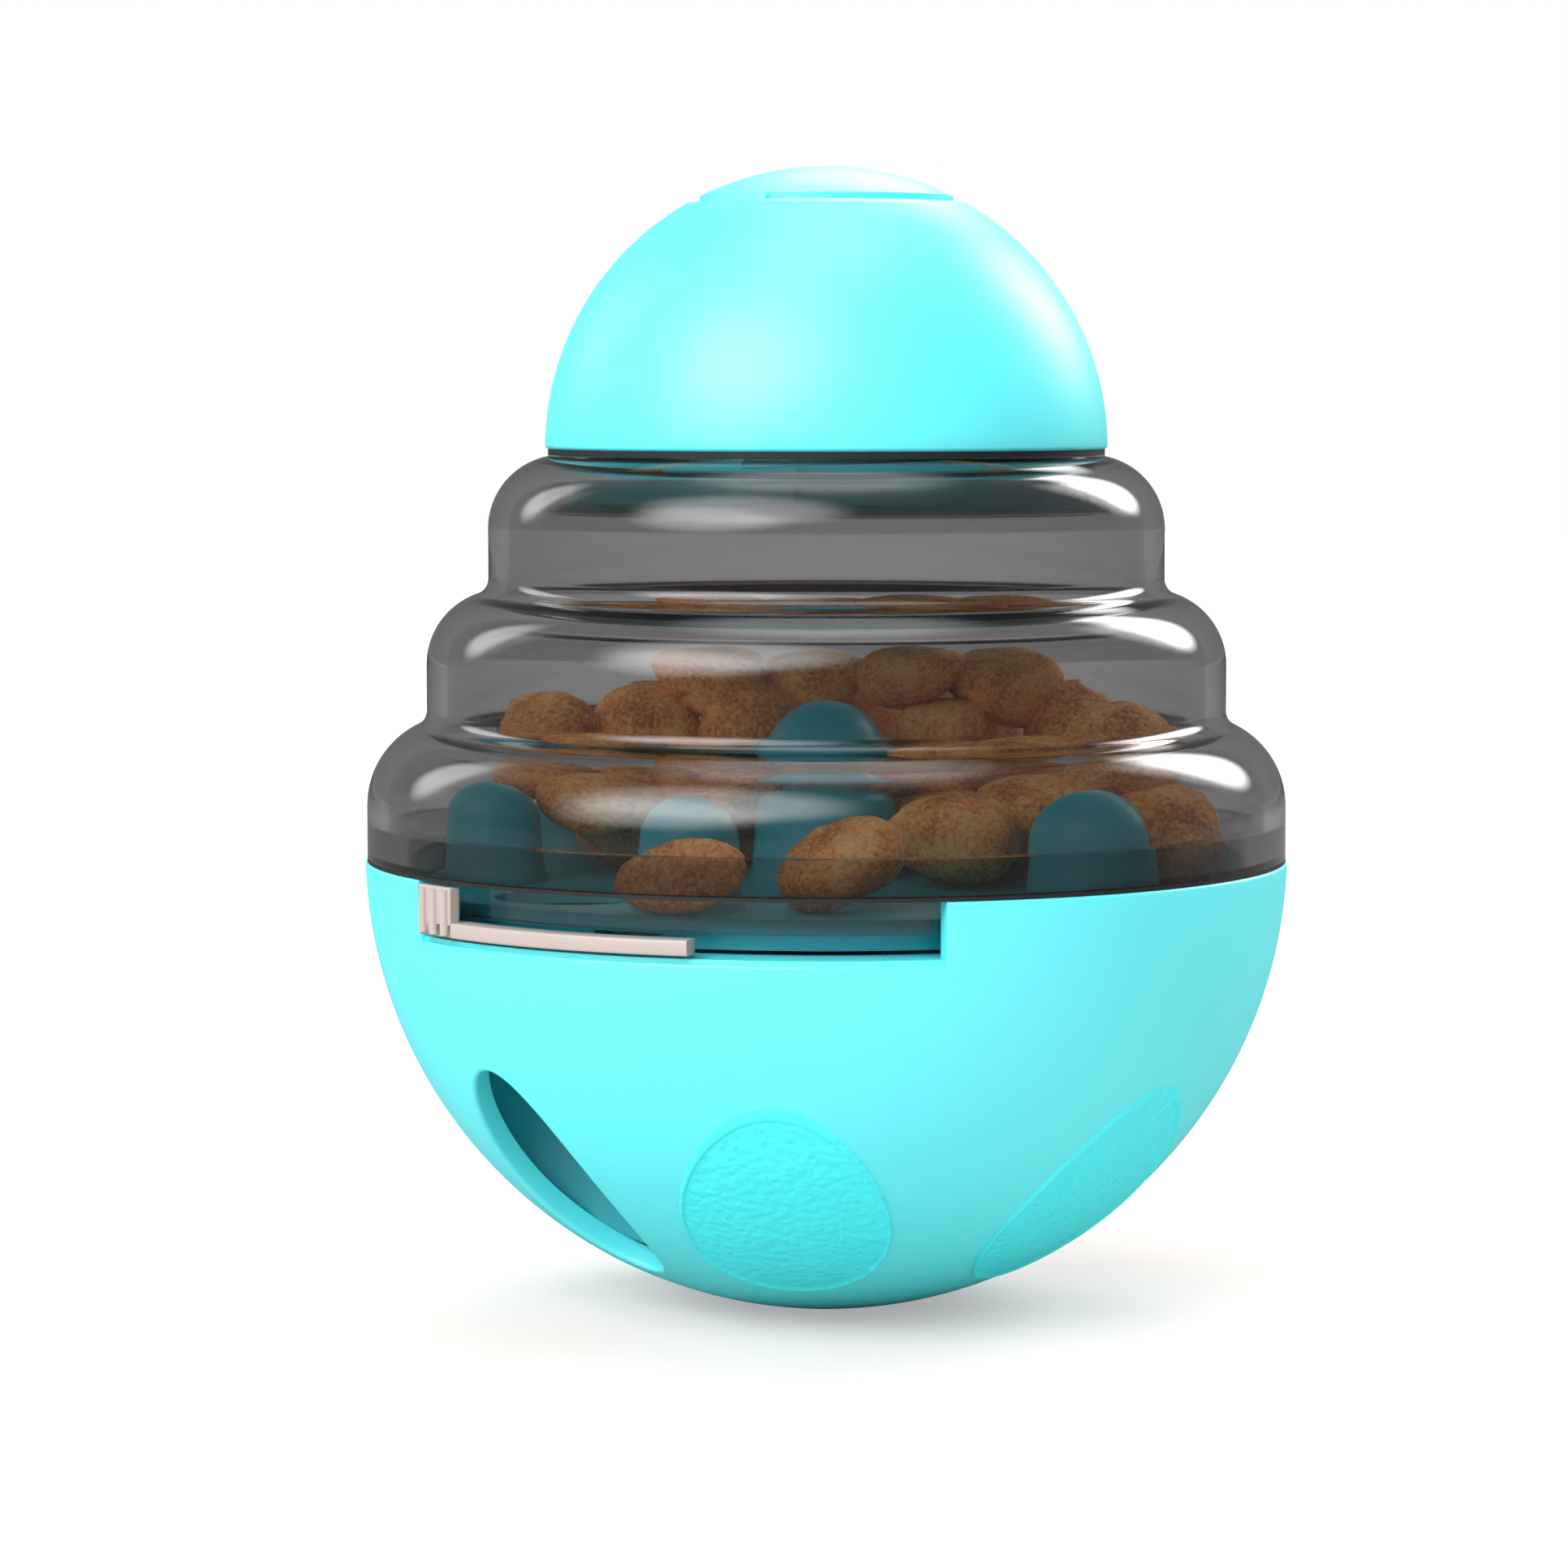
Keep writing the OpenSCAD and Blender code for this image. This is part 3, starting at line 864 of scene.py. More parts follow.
@dataclass
class Dome:
    """The stepped clear dome with its spigot, thick foot band and neck."""

    wall: float = 2.2 * MM
    tier_r: tuple[float, ...] = (49.79 * MM, 43.3 * MM, 36.6 * MM)
    shoulders: tuple[float, ...] = (9.5 * MM, 8 * MM, 8 * MM)
    rises: tuple[float, ...] = (5.5 * MM, 15.2 * MM, 14.6 * MM)
    crease_r: float = 1.8 * MM
    spigot_r: float = 47.1 * MM
    spigot_wall: float = 1.6 * MM
    band_h: float = 3.7 * MM
    neck_r: float = 29.2 * MM
    neck_wall: float = 1.6 * MM
    neck_l: float = 6 * MM
    ramp_in: float = 28.35 * MM
    ramp_h: float = 1 * MM
    ramp_span: float = 50.0
    ramp_bearing: float = 7.5
    ramp_lead: float = 12 * MM
    ramp_count: int = 3
    ramp_play: float = 0.15 * MM
    ramp_bite: float = 0.02 * MM
    ramp_steps: int = 24
    facets: int = 256
    top_steps: int = 20
    shoulder_steps: int = 18
    crease_steps: int = 10

    def __post_init__(self) -> None:
        """Reads the levels from the frame."""
        self.foot_z = top_of("rim_seal")
        self.spigot_z = foot_of("dome")
        self.top_z = top_of("dome")
        self.land_r = half_width("cap_gasket")
        self.tier_z = [self.foot_z + sum(self.rises[: i + 1]) for i in range(3)]

    def climb(self, pen: ProfilePen, wall: float, end_r: float) -> None:
        """Draws the tiers from the bottom up.

        Args:
            pen: Pen at the foot of the bottom tier.
            wall: How far the line lies inside the dome's skin.
            end_r: Radius where the top shoulder ends.
        """
        fillet = self.crease_r + wall
        for index, (tier, height) in enumerate(zip(self.tier_r, self.tier_z)):
            r, shoulder = tier - wall, self.shoulders[index] - wall
            hub = r - shoulder
            pen.line_to(r, height)
            if index == len(self.tier_r) - 1:
                pen.arc(hub, height, math.degrees(math.acos((end_r - hub) / shoulder)), self.top_steps)
                return
            out = self.tier_r[index + 1] - wall + fillet - hub
            up = math.sqrt((shoulder + fillet) ** 2 - out**2)
            turn = math.degrees(math.atan2(up, out))
            pen.arc(hub, height, turn, self.shoulder_steps)
            pen.arc(hub + out, height + up, -turn, self.crease_steps)

    def skin(self) -> Mesh:
        """Spins the whole wall of the dome."""
        spigot_in = self.spigot_r - self.spigot_wall
        collar_z = self.top_z - self.neck_l
        outer = ProfilePen(spigot_in, self.spigot_z).line_to(self.spigot_r, self.spigot_z)
        outer.line_to(self.spigot_r, self.foot_z).line_to(self.tier_r[0], self.foot_z)
        self.climb(outer, 0, self.land_r)
        outer.line_to(self.land_r, self.top_z).line_to(self.neck_r, self.top_z)
        outer.line_to(self.neck_r, collar_z).line_to(self.neck_r + self.neck_wall, collar_z)
        inner = ProfilePen(spigot_in, self.foot_z + self.band_h, outer.mesh)
        inner.line_to(self.tier_r[0] - self.wall, self.foot_z + self.band_h)
        self.climb(inner, self.wall, self.neck_r + self.neck_wall)
        return tidy(outer.join(inner).spin(self.facets))

    def ramp(self, bearing: float) -> Mesh:
        """One ramp of the twist lock, inside the neck.

        Args:
            bearing: Bearing of its middle.

        Returns:
            A closed part of a screw thread.
        """
        rise = self.ramp_lead * self.ramp_span / FULL_TURN
        foot = self.top_z - self.ramp_h - rise - self.ramp_play
        out = self.neck_r - self.ramp_bite
        pen = ProfilePen(self.ramp_in, foot).line_to(out, foot)
        pen.line_to(out, foot + self.ramp_h).line_to(self.ramp_in, foot + self.ramp_h).close()
        start = bearing - self.ramp_span / 2
        return tidy(pen.spin(self.ramp_steps, start, self.ramp_span, rise), fill=True)

    def build(self, finishes: Finishes) -> None:
        """Builds and dresses the dome.

        Args:
            finishes: Materials of the toy.
        """
        dress(as_object(self.skin(), "clear_dome"), finishes.smoke, Body.DOME, Slot.SMOKE, "dome")
        for number in range(self.ramp_count):
            ramp = self.ramp(self.ramp_bearing + FULL_TURN / self.ramp_count * number)
            dress(as_object(ramp, f"neck_ramp_{number + 1}"), finishes.smoke, Body.DOME, Slot.SMOKE)


@dataclass
class Cap:
    """The half-round screw cap with its skirt, lugs and finger ledges."""

    wall: float = 2 * MM
    skirt_r: float = 28 * MM
    skirt_wall: float = 1.8 * MM
    skirt_l: float = 5.4 * MM
    ledge_drop: float = 4 * MM
    ledge_depth: float = 1.4 * MM
    ledge_start: float = -27.0
    ledge_span: float = 149.0
    edge_round: float = 0.5 * MM
    lug_h: float = 1.6 * MM
    lug_span: float = 11.0
    lug_bearing: float = -12.0
    lug_drop: float = 4.33 * MM
    lug_reach: float = 0.9 * MM
    lug_count: int = 3
    lug_bite: float = 0.3 * MM
    lug_steps: int = 8
    facets: int = 240
    side_steps: int = 40
    crown_steps: int = 20
    edge_steps: int = 5
    riser_steps: int = 3

    def __post_init__(self) -> None:
        """Reads the levels from the frame."""
        self.base_z = top_of("cap_gasket")
        self.radius = half_width("cap")
        self.ledge_z = top_of("cap") - self.ledge_drop

    def outline(self, ledged: bool) -> ProfilePen:
        """Draws half of the cap's section.

        Args:
            ledged: Whether the finger ledge is cut into it.

        Returns:
            A closed profile.
        """
        inner, skirt_in = self.radius - self.wall, self.skirt_r - self.skirt_wall
        edge, base = self.edge_round, self.base_z
        up = self.ledge_z - base
        ledge_out = math.sqrt(self.radius**2 - up**2)
        ledge_in = ledge_out - self.ledge_depth
        flange = math.degrees(math.asin(self.skirt_wall / inner))
        pen = ProfilePen(0, base + inner).arc(0, base, flange - 90, self.side_steps)
        pen.line_to(skirt_in, base + self.skirt_wall).line_to(skirt_in, base - self.skirt_l)
        pen.line_to(self.skirt_r, base - self.skirt_l).line_to(self.skirt_r, base)
        start = math.degrees(math.asin(edge / self.radius))
        side_r = math.sqrt(self.radius**2 - edge**2)
        pen.line_to(side_r - edge, base).arc(side_r - edge, base + edge, 90, self.edge_steps)
        ledge = math.degrees(math.asin(up / self.radius))
        riser = math.degrees(math.acos(ledge_in / self.radius))
        pen.arc(0, base, ledge - start, self.side_steps)
        if ledged:
            riser_z = base + math.sqrt(self.radius**2 - ledge_in**2)
            pen.line_to(ledge_in, self.ledge_z).line_to(ledge_in, riser_z)
        else:
            pen.arc(0, base, riser - ledge, self.riser_steps)
        pen.arc(0, base, 90 - riser, self.crown_steps)
        return pen.close()

    def lug(self, bearing: float) -> Mesh:
        """One lug of the twist lock, on the skirt.

        Args:
            bearing: Bearing of its middle.

        Returns:
            A closed part of a ring.
        """
        low = self.base_z - self.lug_drop - self.lug_h / 2
        root, reach = self.skirt_r - self.lug_bite, self.skirt_r + self.lug_reach
        pen = ProfilePen(root, low).line_to(reach, low).line_to(reach, low + self.lug_h)
        pen.line_to(root, low + self.lug_h).close()
        start = bearing - self.lug_span / 2
        return tidy(pen.spin(self.lug_steps, start, self.lug_span), fill=True)

    def build(self, finishes: Finishes) -> None:
        """Builds and dresses the cap.

        Args:
            finishes: Materials of the toy.
        """
        half_turn = FULL_TURN / 2
        steps = round(self.facets * self.ledge_span / FULL_TURN)
        rest, gap = self.facets // 2 - steps, half_turn - self.ledge_span
        parts = []
        for start in (self.ledge_start, self.ledge_start + half_turn):
            parts.append(self.outline(True).spin(steps, start, self.ledge_span))
            parts.append(self.outline(False).spin(rest, start + self.ledge_span, gap))
        shell = tidy(joined(*parts), fill=True)
        pitch = FULL_TURN / self.lug_count
        lugs = [self.lug(self.lug_bearing + pitch * n) for n in range(self.lug_count)]
        dress(as_object(joined(shell, *lugs), "screw_cap"), finishes.aqua, Body.CAP, Slot.AQUA, "cap")


@dataclass
class Tray:
    """The maze tray with its posts, middle column and thumb knob."""

    post_offset: float = 36.1 * MM
    post_r: float = 5.4 * MM
    stout_post_r: float = 6.6 * MM
    post_h: float = 11.8 * MM
    column_r: float = 8 * MM
    column_h: float = 12.2 * MM
    column_round: float = 3 * MM
    hole_r: float = 2.8 * MM
    floor_t: float = 1.5 * MM
    drop_offset: float = 33.5 * MM
    drop_r: float = 8.5 * MM
    drop_bearings: tuple[float, float] = (-51.0, 129.0)
    slim_posts: tuple[float, ...] = (-23.0, -85.0, -129.0, 97.0)
    stout_posts: tuple[float, ...] = (48.0, 165.0)
    taper: float = 0.93
    root_round: float = 1.2 * MM
    knob_r: float = 7.4 * MM
    knob_neck_r: float = 4.8 * MM
    knob_neck_h: float = 1.5 * MM
    knob_rim: float = 0.5 * MM
    knob_inset: float = 1.2 * MM
    edge_round: float = 0.4 * MM
    facets: int = 64
    floor_facets: int = 180
    hole_facets: int = 72
    post_steps: int = 14
    crown_steps: int = 16
    shoulder_steps: int = 8
    rim_steps: int = 6
    edge_steps: int = 3

    def __post_init__(self) -> None:
        """Reads the levels from the frame."""
        self.floor_z = top_of("maze_tray") - self.column_h
        self.radius = half_width("maze_tray")

    def post(self, bearing: float, radius: float) -> Mesh:
        """A tapered post with a round top and a filleted root.

        Args:
            bearing: Bearing of the post.
            radius: Radius at its foot.

        Returns:
            The post, standing on the tray.
        """
        top_r, root = radius * self.taper, self.root_round
        pen = ProfilePen(radius + root / 2, -root / 4).line_to(radius + root / 2, 0)
        pen.line_to(radius, root).line_to(top_r, self.post_h - top_r)
        pen.arc(0, self.post_h - top_r, 90, self.post_steps)
        return placed(tidy(pen.spin(self.facets)), outwards(bearing, self.post_offset, self.floor_z))

    def column(self) -> Mesh:
        """The middle column, tapered, with a rounded shoulder."""
        top_r, shoulder, root = self.column_r * self.taper, self.column_round, self.root_round
        foot, top = self.floor_z, self.floor_z + self.column_h
        pen = ProfilePen(self.column_r + root / 2, foot).line_to(self.column_r, foot + root)
        pen.line_to(top_r, top - shoulder)
        pen.arc(top_r - shoulder, top - shoulder, 90, self.shoulder_steps)
        pen.line_to(self.hole_r, top).line_to(self.hole_r, foot)
        return tidy(pen.close().spin(self.facets))

    def knob(self) -> Mesh:
        """A domed knob with a flared skirt on a slim neck."""
        foot = self.floor_z + self.column_h
        low, top = foot + self.knob_neck_h, top_of("tray_knob")
        rim, crown = self.knob_rim, self.knob_r - self.knob_inset
        rise = top - low - 3 * rim
        pen = ProfilePen(0, foot).line_to(self.knob_neck_r, foot).line_to(self.knob_neck_r, low)
        pen.line_to(self.knob_r - rim, low).arc(self.knob_r - rim, low + rim, 120, self.rim_steps)
        pen.line_to(crown, low + 3 * rim)
        ball = (crown**2 + rise**2) / (2 * rise)
        pen.arc(0, top - ball, 90 - math.degrees(math.asin(1 - rise / ball)), self.crown_steps)
        return tidy(pen.spin(self.facets))

    def build(self, finishes: Finishes) -> None:
        """Builds and dresses the tray and its knob.

        Args:
            finishes: Materials of the toy.
        """
        edge, steps = self.edge_round, self.edge_steps
        low = self.floor_z - self.floor_t
        pen = ProfilePen(self.hole_r, low).line_to(self.radius - edge, low)
        pen.arc(self.radius - edge, low + edge, 90, steps).line_to(self.radius, self.floor_z - edge)
        pen.arc(self.radius - edge, self.floor_z - edge, 90, steps).line_to(self.hole_r, self.floor_z)
        floor = as_object(tidy(pen.close().spin(self.floor_facets)), "tray_floor")
        cutters = []
        for bearing in self.drop_bearings:
            plug = cylinder(self.drop_r, self.radius, self.hole_facets)
            placed(plug, outwards(bearing, self.drop_offset, self.floor_z))
            cutters.append(as_object(plug, "drop_cutter"))
        carve(floor, cutters)
        dress(floor, finishes.deep_aqua, Body.BASE, Slot.DEEP_AQUA, "maze_tray")
        posts = [self.post(b, self.post_r) for b in self.slim_posts]
        posts += [self.post(b, self.stout_post_r) for b in self.stout_posts]
        maze = as_object(joined(self.column(), *posts), "tray_posts")
        dress(maze, finishes.deep_aqua, Body.BASE, Slot.DEEP_AQUA)
        knob = as_object(self.knob(), "thumb_knob")
        dress(knob, finishes.deep_aqua, Body.BASE, Slot.DEEP_AQUA, "tray_knob")


@dataclass
class Lever:
    """The pale lever strip in the rim notch, with its ribbed thumb tab."""

    inner: float = 47.5 * MM
    outer: float = 50.3 * MM
    strip_h: float = 1.6 * MM
    tab_t: float = 1.1 * MM
    left: float = -57.5
    right: float = -16.5
    tab_span: float = 7.0
    rib_r: float = 0.5 * MM
    rib_count: int = 3
    rib_facets: int = 16
    edge_round: float = 0.25 * MM
    edge_steps: int = 3
    least_steps: int = 4

    def bar(self, inner: float, height: float, start: float, span: float) -> Mesh:
        """Part of a ring with rounded edges.

        Args:
            inner: Inner radius.
            height: Height of the bar.
            start: Bearing where it starts.
            span: Length in degrees.

        Returns:
            A closed bar.
        """
        edge, steps, low = self.edge_round, self.edge_steps, foot_of("gate_lever")
        high = low + height
        pen = ProfilePen(inner, low).line_to(self.outer - edge, low)
        pen.arc(self.outer - edge, low + edge, 90, steps).line_to(self.outer, high - edge)
        pen.arc(self.outer - edge, high - edge, 90, steps).line_to(inner + edge, high)
        pen.arc(inner + edge, high - edge, 90, steps)
        return tidy(pen.close().spin(max(self.least_steps, round(span)), start, span), fill=True)

    def rib(self, bearing: float, height: float) -> Mesh:
        """One upright rib on the thumb tab."""
        mesh = cylinder(self.rib_r, height - 2 * self.edge_round, self.rib_facets)
        return placed(mesh, outwards(bearing, self.outer, foot_of("gate_lever") + height / 2))

    def build(self, finishes: Finishes) -> None:
        """Builds and dresses the lever.

        Args:
            finishes: Materials of the toy.
        """
        tab_h = top_of("gate_lever") - foot_of("gate_lever")
        step = self.tab_span / self.rib_count
        ribs = [self.rib(self.left + step * (n + 0.5), tab_h) for n in range(self.rib_count)]
        strip = self.bar(self.inner, self.strip_h, self.left, self.right - self.left)
        tab = self.bar(self.outer - self.tab_t, tab_h, self.left, self.tab_span)
        lever = as_object(joined(strip, tab, *ribs), "notch_lever")
        dress(lever, finishes.pale_grey, Body.GATE, Slot.PALE_GREY, "gate_lever")


@dataclass(frozen=True)
class HeapRow:
    """A row of treats in the heap, evenly spaced from left to right, in millimetres."""

    left: float
    right: float
    back: float
    height: float
    count: int

    def places(self) -> list[Vector]:
        """Middles of its treats, above the middle of the tray floor."""
        step = (self.right - self.left) / (self.count - 1)
        return [Vector((self.left + step * n, self.back, self.height)) * MM for n in range(self.count)]


@dataclass
class KibbleHeap:
    """Dry treats heaped on the tray behind the middle column, and two in front of it."""

    tray: Tray
    dome: Dome
    half_l: float = 7.5 * MM
    half_w: float = 6.7 * MM
    half_h: float = 5.8 * MM
    pitch: float = 11.6 * MM
    wall_gap: float = 0.8 * MM
    fineness: int = 3
    lump: float = 6 * MM
    lump_depth: float = 1.25 * MM
    crag_share: float = 0.5
    rounds: int = 12
    seed: int = 7
    jitter: float = 1.2 * MM
    upright: float = 1.2
    push_parts: float = 3.0
    knob_room: float = 7 * MM
    tilt: float = 0.5
    sizes: tuple[float, float] = (0.88, 1.02)
    crag_scale: float = 3.0
    lump_step: tuple[float, float, float] = (1.7, 2.3, 0.9)
    thin_seed: int = 101
    flat_seed: int = 102
    # On the floor, on top of those, and along the ridge.
    rows: tuple[HeapRow, ...] = (
        HeapRow(left=-16, right=22, back=30, height=6, count=4),
        HeapRow(left=-24, right=27, back=17, height=6, count=5),
        HeapRow(left=13, right=24, back=7, height=5.6, count=2),
        HeapRow(left=15, right=36, back=-10, height=5.8, count=2),
        HeapRow(left=-9, right=16, back=23, height=13, count=3),
        HeapRow(left=-32.5, right=28, back=12.5, height=13, count=5),
        HeapRow(left=-23, right=-14, back=5, height=9, count=2),
        HeapRow(left=25, right=33, back=-4, height=9.5, count=2),
        HeapRow(left=-10.5, right=19.5, back=14.5, height=19.5, count=4),
    )
    # By the notch: a thin one on edge between a post and the dome's wall, and a flat one that leans.
    thin_spot: Vector = field(default_factory=lambda: Vector((-14.5, -40.8, 4.0)) * MM)
    thin_half: Vector = field(default_factory=lambda: Vector((7.0, 1.5, 3.8)) * MM)
    thin_turn: Euler = field(default_factory=lambda: Euler((0.0, -0.2, -0.34)))
    flat_spot: Vector = field(default_factory=lambda: Vector((1.4, -36.0, 5.0)) * MM)
    flat_half: Vector = field(default_factory=lambda: Vector((7.4, 6.6, 4.0)) * MM)
    flat_turn: Euler = field(default_factory=lambda: Euler((0.2, -0.45, -0.1)))

    def room(self, z: float) -> float:
        """Inner radius of the dome round a treat at a height."""
        high = z + self.half_h
        dome = self.dome
        inner = dome.spigot_r - dome.spigot_wall
        for tier, shoulder, level in zip(dome.tier_r, dome.shoulders, dome.tier_z):
            r, turn = tier - dome.wall, shoulder - dome.wall
            if high <= level:
                return min(inner, r)
            rise = high - level
            if rise < turn:
                return min(inner, r - turn + math.sqrt(turn**2 - rise**2))
        return 0.0

    def keep_in(self, spot: Vector) -> None:
        """Pushes a treat off the floor and the posts, and inside the dome.

        Args:
            spot: Middle of the treat, moved in place.
        """
        tray = self.tray
        spot.z = max(spot.z, tray.floor_z + self.half_h)
        stems = [(b, tray.post_offset, tray.post_r, tray.post_h) for b in tray.slim_posts]
        stems += [(b, tray.post_offset, tray.stout_post_r, tray.post_h) for b in tray.stout_posts]
        stems += [(0.0, 0.0, tray.column_r, tray.column_h + self.knob_room)]
        for bearing, offset, radius, height in stems:
            turn = math.radians(bearing)
            away = Vector((spot.x - offset * math.sin(turn), spot.y + offset * math.cos(turn)))
            least = radius + self.half_w
            if spot.z < tray.floor_z + height + self.half_h / 2 and away.length < least:
                push = away.normalized() * (least - away.length)
                spot.x += push.x
                spot.y += push.y
        room = self.room(spot.z) - self.half_l - self.wall_gap
        out = spot.xy.length
        if out > room:
            spot.x *= room / out
            spot.y *= room / out

    def spots(self) -> list[Vector]:
        """Lets the treats of the heap push each other apart.

        Returns:
            The middle of each treat.
        """
        dice = random.Random(self.seed)
        floor = Vector((0, 0, self.tray.floor_z))
        spots = [floor + place for row in self.rows for place in row.places()]
        for spot in spots:
            spot += Vector([dice.uniform(-self.jitter, self.jitter) for _ in range(3)])
        for _ in range(self.rounds):
            for index, one in enumerate(spots):
                for other in spots[index + 1 :]:
                    apart = one - other
                    apart.z *= self.upright
                    if 0 < apart.length < self.pitch:
                        push = apart.normalized() * (self.pitch - apart.length) / self.push_parts
                        one += push
                        other -= push
            for spot in spots:
                self.keep_in(spot)
        return spots

    def treat(self, spot: Vector, turn: Euler, half: Vector, seed: int) -> Mesh:
        """One lumpy flattened treat.

        Args:
            spot: Its middle.
            turn: Its turn.
            half: Half of its length, width and height.
            seed: Number that varies its lumps.

        Returns:
            The treat in place.
        """
        mesh = bmesh.new()
        bmesh.ops.create_icosphere(mesh, subdivisions=self.fineness, radius=1)
        bmesh.ops.scale(mesh, vec=half, verts=mesh.verts)
        depth = self.lump_depth * min(half) / self.half_h
        shift = Vector([seed * step for step in self.lump_step])
        mesh.normal_update()
        for vert in mesh.verts:
            at = vert.co / self.lump
            crag = noise.noise(at * self.crag_scale + shift)
            swell = noise.noise(at + shift) + self.crag_share * crag
            vert.co += vert.normal * depth * swell
        return placed(mesh, Matrix.Translation(spot) @ turn.to_matrix().to_4x4())

    def build(self, finishes: Finishes) -> None:
        """Builds and dresses the treats.

        Args:
            finishes: Materials of the toy.
        """
        dice = random.Random(self.seed + 1)
        usual = Vector((self.half_l, self.half_w, self.half_h))
        treats = []
        for index, spot in enumerate(self.spots()):
            lean = [dice.uniform(-self.tilt, self.tilt) for _ in range(2)]
            turn = Euler((*lean, dice.uniform(0, math.tau)))
            treats.append(self.treat(spot, turn, usual * dice.uniform(*self.sizes), index))
        floor = Vector((0, 0, self.tray.floor_z))
        treats.append(self.treat(floor + self.thin_spot, self.thin_turn, self.thin_half, self.thin_seed))
        treats.append(self.treat(floor + self.flat_spot, self.flat_turn, self.flat_half, self.flat_seed))
        LOG.info("%d treats", len(treats))
        heap = as_object(joined(*treats), "kibble")
        dress(heap, finishes.kibble, Body.BASE, None)


class KeptNodes:
    """CAD nodes whose shape is right as it is: they only get a better finish."""

    def __init__(self, nodes: dict[str, Piece]) -> None:
        """Keeps the frame's nodes."""
        self.nodes = nodes

    def paint(self, material: Material, *names: str) -> None:
        """Gives nodes a material.

        Args:
            material: Material to set.
            *names: Names of the nodes.
        """
        for name in names:
            data = self.nodes[name].data
            data.materials.clear()
            data.materials.append(material)
            LOG.info("%s keeps its CAD shape", name)

    def build(self, finishes: Finishes) -> None:
        """Paints every kept node.

        Args:
            finishes: Materials of the toy.
        """
        self.paint(finishes.deep_aqua, "gate_disc", "ballast_cover")
        self.paint(finishes.pale_grey, "gate_washer")
        self.paint(finishes.rubber, "rim_seal", "cap_gasket")
        self.paint(finishes.ballast, "ballast")
        self.paint(finishes.screw, "cover_screws")


@dataclass(frozen=True)
class Softbox:
    """A soft rectangular lamp: its cloth is brightest in the middle and fades to its edge."""

    name: str
    place: tuple[float, float, float]
    size: tuple[float, float]
    watts: float
    middle: tuple[float, float, float] = (0.5, 0.5, 0.0)
    bright_to: float = 0.2
    dark_from: float = 0.5
    gain: float = 1.8

    def hang(self, aim: Vector) -> None:
        """Hangs the lamp.

        Args:
            aim: Point that it faces.
        """
        data = bpy.data.lights.new(self.name, "AREA")
        data.shape = "RECTANGLE"
        data.size, data.size_y = self.size
        data.energy = self.watts
        data.use_nodes = True
        tree = data.node_tree
        tree.nodes.clear()
        cloth = add_node(tree, "ShaderNodeNewGeometry").outputs["Parametric"]
        off = add_node(tree, "ShaderNodeVectorMath", {1: self.middle}, {0: cloth}, operation="DISTANCE")
        fade = add_node(
            tree,
            "ShaderNodeMapRange",
            {"From Min": self.dark_from, "From Max": self.bright_to, "To Max": self.gain},
            {"Value": off.outputs["Value"]},
            interpolation_type="SMOOTHSTEP",
        )
        shine = add_node(tree, "ShaderNodeEmission", links={"Strength": fade.outputs["Result"]})
        add_node(tree, "ShaderNodeOutputLight", links={"Surface": shine.outputs[0]})
        place = Vector(self.place)
        lamp = bpy.data.objects.new(self.name, data)
        lamp.location = place
        lamp.rotation_euler = (aim - place).to_track_quat("-Z", "Y").to_euler()
        bpy.context.collection.objects.link(lamp)


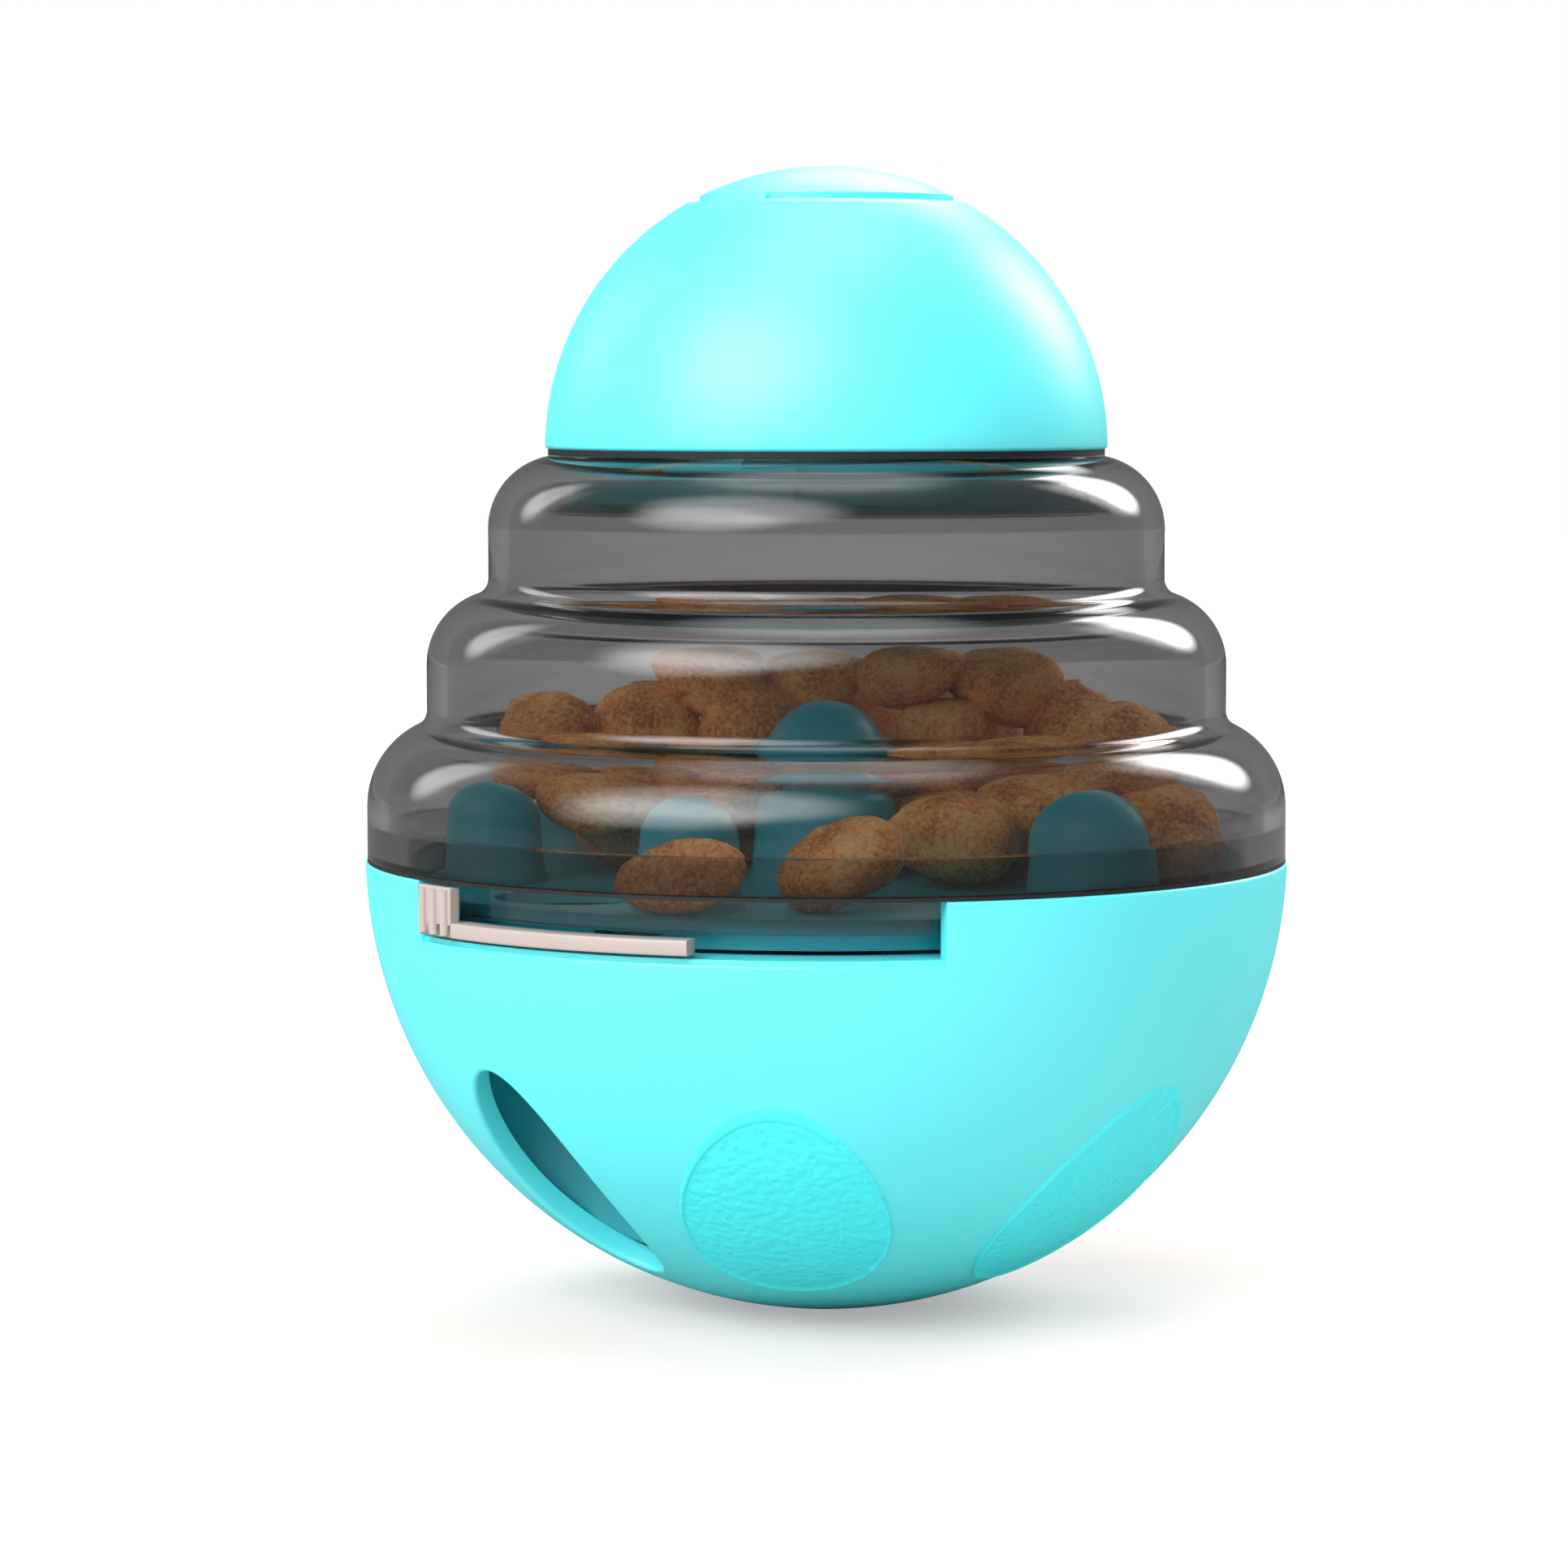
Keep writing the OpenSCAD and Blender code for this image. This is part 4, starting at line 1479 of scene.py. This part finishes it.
@dataclass
class Studio:
    """White studio: floor, soft lamps, white surroundings and the camera."""

    image_w: float = 1932
    axis_px: float = 1018
    focal_px: float = 6134
    distance: float = 540 * MM
    camera_z: float = 98.8 * MM
    pitch: float = 4.48
    sensor: float = 36.0
    clip: tuple[float, float] = (0.01, 50.0)
    floor_size: float = 6.0
    shadow_reach: float = 0.22
    shadow_core: float = 0.2
    # Painted shade colour: the paper is tinted warm so that the cyan which the toy bounces into its shadow
    # reads neutral grey.
    paper: str = "#E0CEC9"
    dim_paper: str = "#6E6B6A"
    paper_share: float = 0.25
    paper_white: float = 1.5
    ambient: float = 0.55
    mirrored: float = 0.18
    aim_z: float = 60 * MM
    lamps: tuple[Softbox, ...] = (
        Softbox("key", (-0.6, -0.9, 0.95), (2.2, 1.3), 22.0),
        Softbox("glow", (-0.55, -0.6, 0.44), (1.1, 0.7), 4.8),
        Softbox("top", (0.0, 0.0, 1.0), (1.0, 1.0), 4.5),
        Softbox("back", (0.15, 0.8, 0.75), (0.8, 0.5), 6.0),
        Softbox("right_rim", (0.6, 0.5, 0.5), (0.4, 0.7), 6.5),
        Softbox("left_rim", (-0.7, 0.45, 0.45), (0.3, 0.7), 1.2),
    )

    def camera(self) -> None:
        """Sets up the camera at the photograph's viewing angle."""
        data = bpy.data.cameras.new("camera")
        data.sensor_width = self.sensor
        data.lens = self.sensor * self.focal_px / self.image_w
        data.clip_start, data.clip_end = self.clip
        camera = bpy.data.objects.new("camera", data)
        bpy.context.collection.objects.link(camera)
        left = (self.axis_px - self.image_w / 2) * self.distance / self.focal_px
        camera.location = (-left, -self.distance, self.camera_z)
        camera.rotation_euler = (math.radians(90 - self.pitch), 0, 0)
        bpy.context.scene.camera = camera

    def white_rays(self, tree: NodeTree) -> Socket:
        """A socket that is 1 for rays that look at the backdrop, also through the dome, and else 0."""
        path = add_node(tree, "ShaderNodeLightPath")
        links = {0: path.outputs["Is Camera Ray"], 1: path.outputs["Is Transmission Ray"]}
        return add_node(tree, "ShaderNodeMath", links=links, operation="MAXIMUM").outputs[0]

    def floor(self) -> None:
        """Lays a white floor that keeps the shadow and is plain white further out."""
        mesh = bmesh.new()
        bmesh.ops.create_grid(mesh, x_segments=1, y_segments=1, size=self.floor_size / 2)
        floor = as_object(mesh, "floor")
        material, tree = bare_material("white_paper")
        place = add_node(tree, "ShaderNodeTexCoord").outputs["Object"]
        away = add_node(tree, "ShaderNodeVectorMath", links={0: place}, operation="LENGTH")
        core = self.shadow_reach * self.shadow_core
        fade = add_node(
            tree,
            "ShaderNodeMapRange",
            {"From Min": core, "From Max": self.shadow_reach, "To Min": self.paper_share},
            {"Value": away.outputs["Value"]},
            interpolation_type="SMOOTHSTEP",
        )
        looking = self.white_rays(tree)
        links = {0: fade.outputs["Result"], 1: looking}
        share = add_node(tree, "ShaderNodeMath", links=links, operation="MULTIPLY")
        paper = add_node(tree, "ShaderNodeBsdfDiffuse", {"Color": linear(self.paper)})
        # Part of the paper's white is its own: the shadow stays pale and takes little of the toy's colour.
        lit = {"Color": linear(WHITE), "Strength": self.paper_white}
        white = add_node(tree, "ShaderNodeEmission", lit)
        links = {0: share.outputs[0], 1: paper.outputs[0], 2: white.outputs[0]}
        mix = add_node(tree, "ShaderNodeMixShader", links=links)
        # Mirrored in the toy, the floor is as dim as the room round it.
        path = add_node(tree, "ShaderNodeLightPath")
        links = {0: path.outputs["Is Glossy Ray"], 1: looking}
        mirrored = add_node(tree, "ShaderNodeMath", links=links, operation="SUBTRACT", use_clamp=True)
        dim = add_node(tree, "ShaderNodeBsdfDiffuse", {"Color": linear(self.dim_paper)})
        links = {0: mirrored.outputs[0], 1: mix.outputs[0], 2: dim.outputs[0]}
        sheet = add_node(tree, "ShaderNodeMixShader", links=links)
        add_node(tree, "ShaderNodeOutputMaterial", links={"Surface": sheet.outputs[0]})
        floor.data.materials.append(material)

    def lights(self) -> None:
        """Hangs the lamps and sets the white surroundings."""
        for lamp in self.lamps:
            lamp.hang(Vector((0, 0, self.aim_z)))
        world = bpy.data.worlds.new("white_surroundings")
        world.use_nodes = True
        tree = world.node_tree
        tree.nodes.clear()
        # Mirrored in the toy, the room round it is darker than the backdrop.
        path = add_node(tree, "ShaderNodeLightPath")
        room = add_node(
            tree,
            "ShaderNodeMapRange",
            {"To Min": self.ambient, "To Max": self.mirrored},
            {"Value": path.outputs["Is Glossy Ray"]},
        )
        links = {"Value": self.white_rays(tree), "To Min": room.outputs["Result"]}
        level = add_node(tree, "ShaderNodeMapRange", {"To Max": 1.0}, links)
        links = {"Strength": level.outputs["Result"]}
        sky = add_node(tree, "ShaderNodeBackground", {"Color": linear(WHITE)}, links)
        add_node(tree, "ShaderNodeOutputWorld", links={"Surface": sky.outputs[0]})
        bpy.context.scene.world = world

    def build(self) -> None:
        """Builds the whole studio."""
        bpy.context.scene.view_settings.view_transform = "Standard"
        self.floor()
        self.lights()
        self.camera()


def main() -> None:
    """Builds the toy's looks and the studio round it."""
    logging.basicConfig(level=logging.INFO, format="%(name)s: %(message)s")
    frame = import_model()
    finishes = Finishes()
    tray, dome = Tray(), Dome()
    Cup().build(finishes)
    tray.build(finishes)
    Lever().build(finishes)
    dome.build(finishes)
    Cap().build(finishes)
    KeptNodes(frame["nodes"]).build(finishes)
    KibbleHeap(tray, dome).build(finishes)
    Studio().build()


if __name__ == "__main__":
    main()
